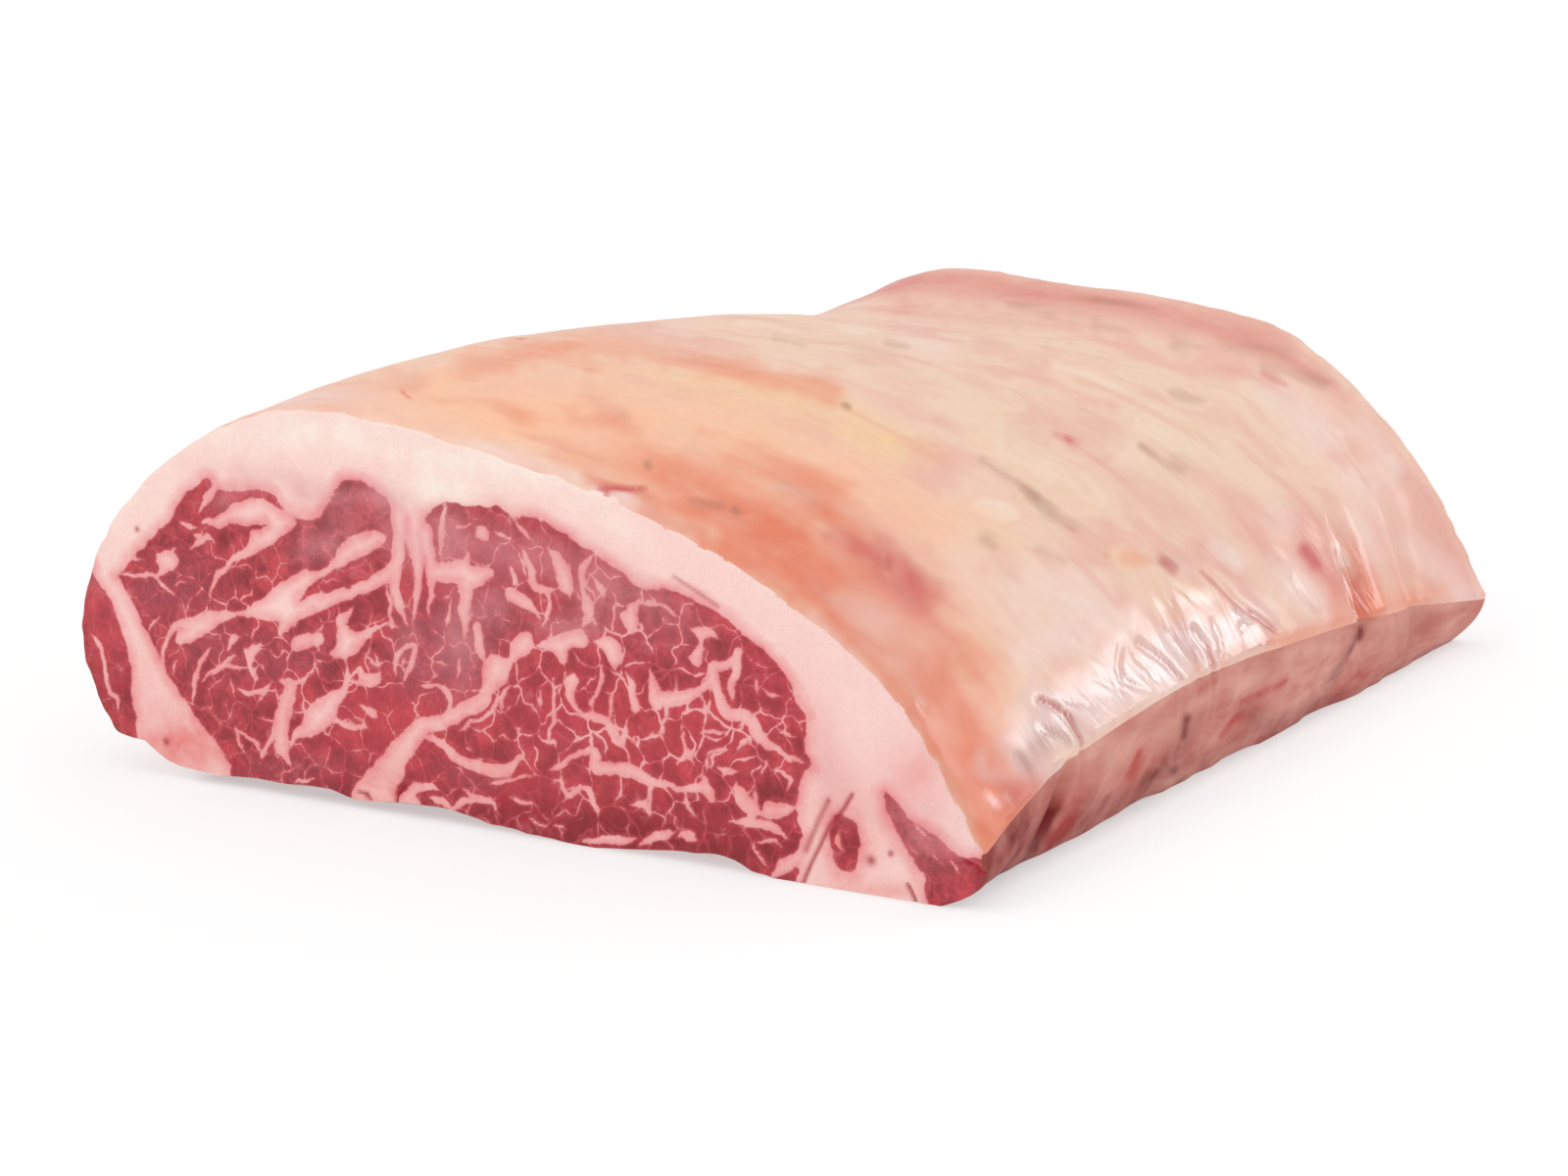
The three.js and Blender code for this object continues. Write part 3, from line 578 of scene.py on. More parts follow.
seams = {
    "upperLeft": [
        [(245, 626, 6), (218, 632, 10), (203, 638, 14), (182, 638, 8), (172, 650, 4), (166, 668, 4),
          (167, 684, 3)], [(121, 587, 3), (157, 588, 3)], [(157, 589, 4), (177, 607, 5)],
        [(131, 569, 3), (147, 574, 3)], [(177, 597, 6), (188, 593, 5)],
        [(193, 559, 4), (213, 548, 5), (219, 553, 4)], [(182, 533, 7), (200, 543, 8)],
        [(203, 523, 5), (213, 507, 5), (223, 487, 5)], [(152, 644, 3), (162, 630, 3)],
        [(176, 687, 3), (181, 675, 3)],
    ],
    "left": [
        [(195, 716, 2), (198, 698, 4), (203, 680, 4), (214, 660, 3)],
        [(205, 695, 2), (223, 682, 3), (249, 680, 3)], [(231, 662, 7), (239, 650, 8)],
        [(241, 703, 3), (254, 707, 4), (267, 705, 4), (276, 698, 3)], [(229, 718, 6), (231, 723, 6)],
        [(264, 732, 4), (279, 736, 4)], [(239, 744, 2), (259, 756, 4), (267, 772, 4)],
        [(239, 744, 2), (249, 769, 3)], [(267, 772, 4), (277, 751, 4), (282, 736, 3)],
        [(286, 696, 4), (297, 700, 10), (291, 718, 14), (286, 744, 13), (288, 764, 12), (296, 784, 6)],
        [(357, 693, 4), (365, 684, 4), (370, 691, 6), (379, 693, 8), (390, 686, 4)],
        [(361, 696, 6), (376, 699, 6), (389, 691, 5)], [(381, 667, 2), (388, 682, 3)],
        [(402, 689, 3), (403, 672, 3), (422, 657, 4), (421, 675, 5), (411, 696, 6)],
        [(338, 733, 6), (353, 741, 5), (376, 745, 3)], [(367, 721, 7), (381, 730, 8)],
        [(394, 634, 3), (407, 643, 3)], [(353, 670, 4), (353, 682, 3)], [(301, 657, 9), (325, 652, 8)],
        [(178, 560, 3), (160, 575, 4)], [(300, 700, 2), (316, 688, 3)], [(216, 690, 2), (240, 668, 3)],
    ],
    "ridge": [
        [(386, 800, 26), (396, 784, 24), (408, 768, 18), (420, 752, 16), (430, 743, 13), (453, 736, 11),
          (479, 723, 12), (494, 713, 12)], [(487, 641, 8), (490, 664, 8), (495, 680, 7)],
        [(427, 700, 3), (448, 700, 4), (458, 713, 6), (457, 728, 6)],
        [(430, 749, 6), (436, 754, 6), (453, 760, 7), (467, 774, 9), (485, 781, 10), (509, 786, 10),
          (534, 772, 3)], [(520, 700, 3), (500, 727, 3), (470, 745, 2)],
    ],
    "underNotch": [
        [(408, 524, 16), (406, 565, 12), (403, 593, 8), (407, 621, 8), (416, 638, 7)],
        [(422, 526, 18), (425, 565, 12), (426, 588, 7), (424, 608, 6), (422, 631, 5)],
        [(433, 545, 16), (439, 578, 10), (439, 603, 5), (438, 629, 4)],
        [(477, 603, 8), (474, 623, 9), (475, 652, 4)], [(470, 672, 3), (466, 695, 3)],
        [(453, 518, 6), (451, 539, 5), (449, 565, 6)], [(443, 687, 6), (446, 688, 6)],
        [(395, 600, 3), (399, 640, 3)], [(460, 610, 2), (455, 640, 3)],
    ],
    "topRight": [
        [(466, 541, 6), (479, 534, 6)], [(488, 543, 8), (492, 545, 8)], [(504, 542, 3), (522, 551, 4)],
        [(522, 526, 3), (542, 553, 4)], [(531, 557, 4), (540, 580, 6), (545, 600, 6), (568, 601, 3)],
        [(558, 557, 4), (568, 571, 10), (577, 593, 13), (581, 613, 5)],
        [(604, 567, 4), (595, 581, 6), (596, 603, 4), (600, 626, 9), (596, 639, 6)],
        [(601, 588, 4), (614, 603, 6), (613, 613, 3)], [(522, 578, 7), (526, 593, 8)],
        [(522, 608, 10), (537, 616, 9), (551, 630, 4)], [(512, 631, 5), (524, 635, 4)],
        [(626, 680, 4), (633, 692, 3)], [(567, 632, 7), (570, 636, 7)],
        [(652, 616, 3), (675, 618, 3), (692, 632, 3)], [(671, 660, 4), (671, 668, 4)],
        [(556, 600, 2), (560, 622, 3), (553, 640, 2)],
    ],
    "middleRight": [
        [(583, 695, 12), (582, 708, 8), (588, 724, 4), (602, 732, 5), (619, 738, 5), (636, 757, 4)],
        [(612, 680, 5), (612, 697, 5), (604, 715, 3), (604, 729, 3)], [(624, 708, 3), (622, 736, 3)],
        [(639, 687, 5), (644, 700, 8), (648, 722, 8)], [(565, 692, 3), (565, 725, 3), (558, 761, 3)],
        [(552, 705, 3), (552, 725, 3)], [(513, 715, 4), (512, 728, 4)],
        [(662, 683, 6), (667, 705, 10), (669, 717, 9), (683, 713, 9), (698, 711, 5)],
        [(688, 690, 4), (690, 706, 7)],
        [(603, 729, 4), (619, 736, 4), (625, 754, 5), (636, 759, 5), (639, 739, 3)],
        [(669, 713, 4), (667, 721, 4)], [(682, 716, 4), (679, 739, 3)], [(716, 708, 4), (720, 722, 4)],
    ],
    "right": [
        [(753, 667, 8), (750, 687, 8), (746, 703, 5), (747, 716, 3)],
        [(752, 672, 6), (739, 679, 8), (726, 682, 9), (727, 693, 9)],
        [(727, 693, 10), (735, 713, 9), (742, 728, 9), (758, 731, 8), (767, 739, 10), (776, 753, 8),
          (789, 763, 5), (819, 780, 4)],
        [(726, 693, 8), (712, 705, 6), (699, 710, 10), (684, 713, 10), (670, 712, 8)],
        [(779, 703, 4), (785, 710, 4), (798, 711, 3)], [(799, 730, 6), (799, 736, 6)],
        [(715, 749, 3), (740, 747, 3)], [(725, 767, 4), (743, 764, 3)], [(723, 768, 4), (722, 786, 3)],
        [(750, 762, 3), (766, 754, 3)], [(697, 739, 2), (699, 764, 3), (710, 784, 4)],
        [(692, 780, 4), (702, 769, 6), (707, 773, 5)], [(650, 768, 5), (652, 769, 5)],
        [(661, 749, 4), (668, 744, 4)], [(770, 690, 2), (775, 712, 3)], [(792, 745, 2), (812, 752, 3)],
    ],
    "low": [
        [(561, 787, 3), (592, 770, 5), (607, 767, 6), (608, 783, 10), (643, 786, 9), (661, 795, 7),
          (682, 802, 5), (697, 805, 5), (715, 805, 8)], [(664, 797, 6), (664, 823, 4)],
        [(699, 806, 4), (701, 823, 3), (711, 833, 3)], [(643, 820, 3), (659, 820, 5), (664, 831, 4)],
        [(570, 792, 3), (579, 810, 4), (596, 803, 4), (610, 828, 4)], [(579, 812, 3), (574, 819, 2)],
        [(750, 797, 5), (753, 810, 12), (766, 827, 9), (766, 838, 5), (753, 840, 3)],
        [(770, 804, 3), (771, 825, 4), (779, 831, 4), (789, 827, 12), (812, 825, 4)],
        [(781, 776, 7), (776, 790, 6)], [(789, 787, 3), (804, 791, 4), (803, 807, 3)],
        [(733, 782, 3), (740, 786, 6), (753, 787, 3)], [(745, 839, 3), (784, 844, 7), (803, 857, 5)],
        [(600, 805, 4), (610, 825, 5)], [(500, 800, 3), (545, 790, 2)], [(520, 815, 3), (548, 822, 3)],
        [(470, 806, 3), (500, 818, 3)],
    ],
    "foot": [  # shreds of the trimmed underside that show along the foot
        [(436, 814, 3), (453, 821, 5), (462, 826, 3)],
        [(460, 826, 2), (477, 818, 5), (502, 821, 4), (508, 831, 2)], [(565, 843, 3), (576, 846, 4)],
        [(593, 857, 3), (622, 858, 6), (650, 855, 3)], [(652, 863, 4), (672, 853, 7), (690, 849, 3)],
        [(691, 856, 4), (702, 852, 8), (713, 859, 3)], [(768, 862, 2), (774, 874, 3), (784, 884, 2)],
        [(772, 860, 2), (784, 857, 3), (796, 866, 2)], [(786, 896, 6), (800, 884, 10), (818, 872, 8)],
        [(540, 836, 2), (556, 843, 3)], [(300, 800, 2), (320, 794, 3)],
    ],
    "side": [[(93, 647, 3), (103, 662, 4), (107, 682, 4), (111, 705, 5), (119, 713, 5), (120, 726, 4)]],
    "tail": [
        [(855, 846, 3), (854, 860, 4), (860, 870, 3)], [(860, 846, 4), (866, 848, 2)],
        [(932, 842, 3), (949, 859, 3)], [(951, 871, 2), (960, 882, 3)], [(926, 862, 2), (936, 872, 2)],
        [(968, 878, 2), (978, 892, 2)],
    ],
}
cutFolds = {  # lines pressed or torn into the cut: path, width in mm, depth in mm
    "tailFold": ([(869, 811), (861, 825), (847, 841), (837, 862), (827, 882), (818, 904)], 0.5, 0.4),
    "innerFold": ([(845, 817), (835, 837), (828, 854), (822, 868)], 0.7, 0.18),
    "tailNick": ([(926, 903), (930, 911), (934, 920)], 0.4, 0.6),
    "seamSlit": ([(687, 588), (708, 602), (733, 619)], 0.4, 0.1),
    "toeCurl": ([(366, 808), (374, 810), (378, 816)], 0.35, 0.5),
    "toeSplit": ([(404, 824), (405, 812), (411, 803)], 0.4, 0.6),
    "cornerTear": ([(985, 880), (996, 886), (1001, 893), (1006, 890)], 0.5, 0.8),
}
cutSpots = [  # dark or red flecks on the cut: place, reach in mm
    (889, 878, 1.1), (909, 871, 0.7), (513, 817, 1.4), (535, 838, 1.2), (545, 826, 1), (371, 757, 1.3),
    (338, 757, 1.5), (845, 817, 0.6), (350, 795, 0.9), (374, 811, 0.8), (140, 540, 0.7), (122, 700, 1.2),
    (170, 757, 0.9), (240, 778, 1.1),
]
leanIslands = [  # lean that shows again inside the pale lobes and beside the notch
    [(346, 587, 8), (368, 581, 7)],
    [(190, 545, 4), (213, 539, 5), (226, 543, 4), (238, 537, 5), (254, 540, 4), (272, 534, 3)],
]


def outlineDistance(x, z, outline):  # signed: positive inside
    loop = [*outline, outline[0]]
    inside = np.zeros(np.shape(x), bool)
    for (ax, az), (bx, bz) in zip(loop[:-1], loop[1:]):
        if az != bz:
            inside ^= ((az > z) != (bz > z)) & (x < (bx - ax) * (z - az) / (bz - az) + ax)
    return np.where(inside, 1, -1) * distanceToPath(x, z, loop)


pixelOnCut = 1 / 3.42  # mm of the marbled cut to a pixel of the photograph, for the strokes' widths
thinSeam = 2.2  # a seam narrower than this ends in a point
webbing = 0.9  # where two seams come this near in mm, fat fills the corner between them
cutForm = {  # in mm
    "wander": [(0.45, 2.6, 31, 33), (0.25, 1.1, 32, 34)],  # reach, size, a seed for x and one for z
    "seamEnd": (0.25, 2.4),  # the width a thin seam ends with, and over how many widths, as shares
    "outline": 1.2, "stroke": 1.0, "farOutline": 4,  # spacing of points
    "near": 9,  # a seam is measured only within this
    # on the far cut the seams are mirrored and moved, made narrower and higher, and bent: size, length
    "mirror": (14, 0.94, 1.02), "mirrorBend": ((3, 19), (2, 15)),
}


def webbed(one, other):
    gap = np.maximum(webbing - np.abs(one - other), 0) / webbing
    return np.minimum(one, other) - gap * gap * webbing / 4


def softOutline(pixels):  # an outline on the cut, with its corners drawn out into curves
    places = onCut(pixels)
    return smoothLines(np.concatenate([places, places[:1]])[None], cutForm["outline"])[0].tolist()


def softStroke(stroke):  # a seam on the cut, curved, and drawn to a point where it isn't thick
    places = np.concatenate([onCut([p[:2] for p in stroke]), [[p[2] * pixelOnCut] for p in stroke]], axis=1)
    line = smoothLines(places[None], cutForm["stroke"])[0]
    least, taper = cutForm["seamEnd"]
    run = np.concatenate([[0], np.cumsum(np.hypot(*np.diff(line[:, :2], axis=0).T))])
    for end, wide in ((run, line[0, 2]), (run[-1] - run, line[-1, 2])):
        if wide < thinSeam:
            line[:, 2] *= np.clip(least + (1 - least) * end / (taper * wide), 0, 1)
    return line.tolist()


def wandered(x, z):  # seams never run true: places shifted by up to about half a millimetre
    atX, atZ = x, z
    for reach, size, seedX, seedZ in cutForm["wander"]:
        atX = atX + reach * grain(x / size, z / size, seedX)
        atZ = atZ + reach * grain(x / size, z / size, seedZ)
    return atX, atZ


def nearShare(x, z, line):  # the places near a seam, the only ones that need its distance
    line = np.asarray(line)[:, :2]
    low, high = line.min(0) - cutForm["near"], line.max(0) + cutForm["near"]
    return (x > low[0]) & (x < high[0]) & (z > low[1]) & (z < high[1])


def leanField(x, z):  # mm to the nearest fat on the marbled cut, positive in lean
    x, z = wandered(x, z)
    # the eye and the side strip run on below the base and beyond the skin
    eye = smoothLines(onCut(eyeTop)[None], cutForm["outline"])[0].tolist()
    eye += [(66, -9), (-74, -9)] + onCut(eyeFoot).tolist()
    side = onCut(sideLean).tolist() + [(-125, 0), (-125, 50)]
    shapes = [eye, side, softOutline(tailOval), onCut(tailWedge).tolist()]
    field = np.max([outlineDistance(x, z, shape) for shape in shapes], axis=0)
    for lobe in map(softOutline, paleLobes.values()):
        at = nearShare(x, z, lobe)
        field[at] = webbed(field[at], -outlineDistance(x[at], z[at], lobe))
    for stroke in (softStroke(stroke) for group in seams.values() for stroke in group):
        at = nearShare(x, z, stroke)
        field[at] = webbed(field[at], distanceToPath(x[at], z[at], stroke))
    for island in leanIslands:
        field = np.maximum(field, -distanceToPath(x, z, softStroke(island)))
    return field


def farField(x, z):  # the far cut wasn't seen: the same tissues, with the near cut's seams mirrored and moved
    one = np.array([1.0])
    spacing = cutForm["farOutline"]
    eye = smoothLines(railsAt(tissueStations, eyeRails, one), spacing)[0].tolist()
    side = smoothLines(railsAt(tissueStations, sideRails, one), spacing)[0].tolist()
    side += [(sideOuterX, -6), (sideOuterX, 46)]
    wedge = railsAt(skinStations, outerTailRails, one)[0].tolist()
    shapes = [eye, side, wedge, ovalSection(one)[0].tolist()]
    field = np.max([outlineDistance(x, z, shape) for shape in shapes], axis=0)
    (shift, wide, high), ((bend, bendSize), (rise, riseSize)) = cutForm["mirror"], cutForm["mirrorBend"]
    fromX = -(x + shift) * wide + bend * grain(x / bendSize, z / bendSize, 41)
    fromZ = z * high + rise * grain(x / riseSize, z / riseSize, 42)
    for name in ("left", "topRight", "middleRight", "right", "low"):
        for stroke in map(softStroke, seams[name]):
            field = webbed(field, distanceToPath(fromX, fromZ, stroke))
    for name in ("longLeaf", "midLeaf", "starLeaf", "greyPatch", "rightPatch"):
        field = webbed(field, -outlineDistance(fromX, fromZ, softOutline(paleLobes[name])))
    return field


def ovalSection(shares):
    centre, half = (railsAt(tissueStations, [innerTail[key]], shares)[:, 0] for key in ("centre", "half"))
    turn = np.linspace(0, 2 * math.pi, innerTail["sides"], endpoint=False)[None, :]
    x = centre[:, :1] + half[:, :1] * np.cos(turn) + innerTail["lean"] * half[:, 1:] * np.sin(turn)
    return np.stack([x, centre[:, 1:] + half[:, 1:] * np.sin(turn)], axis=2)


cutRelief = {  # in mm
    "sunk": 0.16, "edge": 0.35,  # lean lies below fat, with a soft edge between them
    "bundles": 0.12, "bundle": 3.1, "bundleShare": 0.6, "clump": (11, 9), "onFat": 0.06,
    "rim": (119, -7), "rimSoft": 3,  # beyond these the block of the cut is flat
    # a fold's dark red is partly the meat's own and partly painted shade, stronger where the fold is deeper
    "foldTone": 0.45, "fleckTone": 0.9,  # how dark a fold and a fleck show
}


def foldMask(x, z, depths=False):  # the folds and flecks of the marbled cut, or how deep the folds are
    marks = [
        (bell(distanceToPath(x, z, onCut(path).tolist()) / wide), deep)
        for path, wide, deep in cutFolds.values()
    ]
    if depths:
        return sum(mark * deep for mark, deep in marks)
    places, reaches = onCut(np.array(cutSpots)[:, :2]), [spot[2] for spot in cutSpots]
    # painted shade: a fold's dark red grows with its depth; the flecks are the meat's own dark and red spots
    shown = [mark * min(1, cutRelief["foldTone"] + deep) for mark, deep in marks]
    for (atX, atZ), reach in zip(places, reaches):
        shown.append(cutRelief["fleckTone"] * bell(np.hypot(x - atX, z - atZ) / reach))
    return np.max(shown, axis=0)


def nearRelief(x, z):
    return reliefOf(leanField(x, z), x, z, 51) + foldMask(x, z, True)


def reliefOf(field, x, z, seed):
    side, low = cutRelief["rim"]
    calm = smoothstep(np.minimum(np.minimum(x + side, side - x), z - low), 0, cutRelief["rimSoft"])
    lean = smoothstep(field, -cutRelief["edge"], cutRelief["edge"])
    size, (wide, high), onFat = cutRelief["bundle"], cutRelief["clump"], cutRelief["onFat"]
    bundles = 1 + grain(x / size, z / size, seed) * cutRelief["bundleShare"]
    bundles = cutRelief["bundles"] * (bundles + grain(x / wide, z / high, seed + 1))
    return calm * (cutRelief["sunk"] * lean + bundles * (onFat + (1 - onFat) * lean))


# The tissues, parted out of one dense body.
shares = rimShares()
rings = (shares - 0.5) * loinLength
rings[0] -= fine["overrun"]
rings[-1] += fine["overrun"]
skinShares = np.concatenate([[0], shares, [1]])
skinRings = np.concatenate([[rings[0]], (shares - 0.5) * loinLength, [rings[-1]]])
whole = loft("whole", skinSections(skinShares), skinRings)
print("skin lofted:", len(whole.data.vertices), "points")

nearBlock = cutBody("nearBlock", False, nearRelief, fine["cutStep"])
farBlock = cutBody("farBlock", True, lambda x, z: reliefOf(farField(x, z), x, z, 61), fine["farStep"])
cutBy(whole, nearBlock, "INTERSECT")
cutBy(whole, farBlock, "INTERSECT")
print("cuts made")

innerShares = np.linspace(0, 1, fine["wallRings"])
eyeWall = smoothLines(railsAt(tissueStations, eyeRails, innerShares), fine["wall"])
sideWall = smoothLines(railsAt(tissueStations, sideRails, innerShares), fine["wall"])
# the border of fat and lean on the chine side wanders, more toward its top: waves, heights
borderWaves, borderHigh = [(1.6, 21, 91), (0.9, 8, 92)], (20, 44)
wander = waves(innerShares * loinLength, borderWaves)[:, None]
sideWall[..., 1] += wander * smoothstep(sideWall[..., 1], *borderHigh)
sideWall = np.concatenate(
    [sideWall, [[[sideOuterX, w[-1][1]], [sideOuterX, w[0][1]]] for w in sideWall]], axis=1
)
wedgeWall = railsAt(skinStations, outerTailRails, innerShares)
knives = {
    "marbledEye": tissueLoft("eyeKnife", eyeWall, innerShares),
    "chineSideMuscle": tissueLoft("sideKnife", sideWall, innerShares),
    "innerTailMuscle": tissueLoft("ovalKnife", ovalSection(innerShares), innerShares),
    "outerTailMuscle": tissueLoft("wedgeKnife", wedgeWall, innerShares),
}
tissues = {name: cutBy(whole, knife, "INTERSECT", name) for name, knife in knives.items()}
tissues["fatCap"] = whole
whole.name = whole.data.name = "fatCap"
for knife in knives.values():
    cutBy(whole, knife, "DIFFERENCE")
for thing in (nearBlock, farBlock, *knives.values()):
    bpy.data.objects.remove(thing)
print("tissues parted")


# Where each tone lies: soft spots as (place, place, reach, reach, turn in degrees, strength).
skinTones = {  # seen from above: x, y in mm
    "orange": [
        (56, -122, 26, 11, -14, 0.75), (74, -112, 18, 10, -20, 0.6), (20, -118, 26, 9, -6, 0.3),
        (109, 68, 8, 15, 0, 0.6), (105, 46, 8, 12, 0, 0.4), (104, 96, 8, 12, 0, 0.3),
        (56, -96, 20, 9, -10, 0.5), (100, -128, 9, 12, 0, 0.6),
    ],
    "peach": [
        (-30, -122, 34, 22, 0, 0.85), (4, -104, 40, 22, 10, 0.85), (40, -112, 40, 20, -10, 0.6),
        (28, -76, 44, 16, -10, 0.6), (-34, -62, 16, 34, 0, 0.5), (62, -78, 22, 16, 0, 0.6),
        (94, -108, 14, 18, 0, 0.5), (-8, -50, 24, 14, 0, 0.3),
    ],
    "yellow": [
        (34, -52, 22, 9, -20, 0.45), (4, -62, 24, 12, 20, 0.4), (-34, -50, 13, 22, 0, 0.3),
        (80, -64, 9, 8, 0, 0.3),
    ],
    "pink": [
        (20, 127, 84, 9, 0, 0.6), (-56, 122, 34, 14, 0, 0.6), (108, 118, 10, 26, 0, 0.5),
        (72, -104, 16, 12, -25, 0.5), (-92, -60, 14, 80, 0, 0.4), (102, 66, 9, 12, 0, 0.5),
        (-102, 60, 14, 90, 0, 0.45), (84, 4, 12, 10, 20, 0.3), (60, 124, 12, 6, 20, 0.4),
        (100, 30, 8, 14, 0, 0.3),
    ],
    "red": [
        (27, -134, 6, 1.8, 10, 0.5), (106, 62, 3, 10, 0, 0.4), (-50, -60, 1.5, 1.3, 0, 0.6),
        (-70, 30, 6, 1.5, 40, 0.4),
    ],
    "brown": [
        (-80, -90, 8, 1.8, 45, 0.4), (-78, 70, 9, 1.6, 30, 0.4), (-96, 20, 6, 2, 60, 0.4),
        (10, 128, 10, 2, 5, 0.4),
    ],
    "cream": [
        (60, 70, 26, 26, 0, 0.35), (72, 42, 18, 12, 0, 0.5), (-20, 40, 50, 34, 0, 0.35),
        (-8, 100, 14, 9, 0, 0.5), (86, 52, 10, 9, 0, 0.5), (56, -22, 28, 12, -20, 0.5),
        (20, 80, 34, 12, 0, 0.3), (10, -20, 40, 22, 20, 0.35), (84, -72, 16, 14, 0, 0.4),
        (72, 96, 14, 16, 0, 0.5), (50, 0, 40, 26, 0, 0.35), (84, 20, 10, 24, 0, 0.4),
    ],
    "white": [
        (92, -66, 12, 20, 0, 0.35), (106, 37, 5, 9, 0, 0.7), (-60, -130, 26, 10, 0, 0.6),
        (76, 104, 14, 16, 20, 0.5), (102, 84, 5, 6, 0, 0.5), (29, -138.5, 6, 3, 0, 0.8),
        (-4, -139, 9, 1.6, 0, 0.6), (98, 100, 8, 14, 0, 0.4),
    ],
    "film": [],
    "wet": [(106, 66, 8, 18, 0, 0.5), (66, -128, 40, 6, -14, 0.35), (98, 50, 8, 10, 0, 0.4)],
}
cutTones = {  # on the marbled cut, in pixels of the photograph
    "bright": [
        (410, 735, 60, 34, -20, 0.8), (104, 650, 22, 80, 0, 0.6), (372, 725, 26, 16, 0, 0.6),
        (600, 735, 90, 45, 10, 0.55), (560, 810, 120, 22, 6, 0.6), (700, 745, 60, 40, 0, 0.5),
        (330, 590, 40, 14, -25, 0.4), (550, 570, 100, 40, 16, 0.5), (430, 600, 40, 20, 0, 0.45),
        (790, 700, 24, 60, -20, 0.35), (290, 700, 30, 30, 0, 0.3), (720, 845, 110, 14, 6, 0.5),
    ],
    "dull": [
        (170, 600, 50, 26, -20, 0.7), (210, 655, 40, 30, 0, 0.6), (290, 670, 60, 26, -10, 0.55),
        (470, 650, 60, 60, 0, 0.75), (430, 690, 30, 20, 0, 0.5), (300, 790, 60, 20, 0, 0.5),
        (480, 795, 30, 12, 20, 0.7), (640, 640, 30, 30, 0, 0.3), (505, 575, 30, 24, 0, 0.5),
        (590, 760, 30, 20, 0, 0.3), (690, 660, 40, 30, 0, 0.35),
    ],
    "deep": [  # wet and darker near the foot
        (300, 806, 100, 18, 6, 0.6), (470, 826, 100, 20, 6, 0.75), (640, 846, 120, 24, 6, 0.95),
        (790, 862, 60, 24, 4, 0.7), (110, 720, 20, 50, -10, 0.4), (700, 820, 80, 14, 4, 0.35),
        (380, 800, 40, 16, 0, 0.4), (965, 885, 40, 10, 0, 0.5), (350, 520, 20, 26, 0, 0.5),
        (332, 548, 26, 12, 0, 0.4),
    ],
    "haze": [  # lean seen through a film of fat
        (510, 560, 90, 26, 14, 0.3), (600, 590, 70, 24, 26, 0.35), (660, 610, 60, 20, 30, 0.25),
        (340, 545, 40, 30, 0, 0.25), (398, 506, 30, 16, 20, 0.75), (250, 480, 50, 12, 10, 0.35),
        (250, 492, 26, 12, 0, 0.4), (455, 545, 20, 26, 0, 0.5), (950, 850, 34, 30, 30, 0.5),
        (92, 560, 14, 30, 0, 0.5), (860, 800, 30, 26, 0, 0.35), (900, 830, 30, 14, 0, 0.3),
        (842, 780, 12, 40, 0, 0.25), (312, 500, 26, 16, 20, 0.75), (352, 506, 16, 12, 0, 0.3),
        (405, 545, 16, 24, -20, 0.35), (470, 655, 24, 44, 0, 0.45), (505, 620, 22, 18, 0, 0.4),
        (228, 512, 12, 12, 0, 0.3), (325, 560, 26, 12, -20, 0.35), (585, 640, 34, 14, 0, 0.5),
        (440, 560, 30, 24, 0, 0.3), (606, 612, 22, 18, 0, 0.3), (415, 655, 14, 34, 0, 0.3),
    ],
    "net": [
        (690, 750, 130, 80, 0, 1), (560, 720, 60, 60, 0, 0.6), (640, 620, 60, 50, 0, 0.7),
        (540, 570, 60, 30, 0, 0.5), (230, 610, 60, 50, 0, 0.5), (320, 700, 110, 70, 0, 0.5),
        (450, 700, 600, 400, 0, 0.58),
    ],
    "salmon": [  # fat that has taken on the colour of the lean
        (150, 690, 26, 60, 0, 0.3), (178, 765, 46, 40, 0, 1), (215, 760, 20, 20, 0, 0.6),
        (390, 790, 40, 34, -40, 0.6), (905, 850, 50, 30, 0, 0.2), (905, 908, 60, 10, 0, 0.5),
        (935, 792, 34, 40, 0, 0.5), (840, 760, 20, 70, -20, 0.35), (860, 830, 34, 30, 0, 0.4),
        (520, 790, 60, 30, 0, 0.5), (760, 820, 60, 30, 0, 0.4), (300, 720, 26, 60, 0, 0.35),
        (240, 545, 60, 18, 0, 0.2), (500, 690, 30, 30, 0, 0.35), (860, 880, 30, 24, 0, 0.5),
    ],
    "ivory": [  # the outer rim of the fat, creamier
        (300, 440, 130, 22, 0, 0.8), (130, 500, 34, 60, 40, 0.5), (560, 480, 120, 24, 12, 0.6),
        (760, 570, 80, 20, 34, 0.3), (455, 500, 50, 22, 12, 0.9), (470, 470, 110, 14, 10, 0.9),
        (620, 530, 60, 14, 30, 0.5),
    ],
}
sideTones = {  # on the trimmed tail side: y, z in mm
    # dark: the band (0, -1, 300, 4) along the whole foot is painted shade where the side meets the table
    "dark": [
        (-126, 8, 9, 9, 0, 0.5), (-104, 10, 3, 12, 0, 0.6), (-42, 9, 14, 4, 20, 0.45),
        (4, 8, 12, 3, -20, 0.4), (98, 8, 9, 8, 0, 0.3), (-80, 3, 22, 3, 0, 0.5), (0, -1, 300, 4, 0, 0.5),
        (-132, 8, 14, 12, 0, 0.35),
    ],
    "red": [(-124, 10, 16, 9, 0, 0.7), (-96, 12, 12, 8, 0, 0.5), (-70, 8, 16, 8, 0, 0.35)],
    "pale": [
        (-78, 17, 22, 4, 10, 0.5), (-30, 20, 20, 3, 10, 0.6), (24, 20, 24, 3, 0, 0.6),
        (-60, 9, 10, 3, 30, 0.35), (88, 14, 16, 4, 0, 0.5), (124, 8, 10, 5, 0, 0.5),
    ],
}
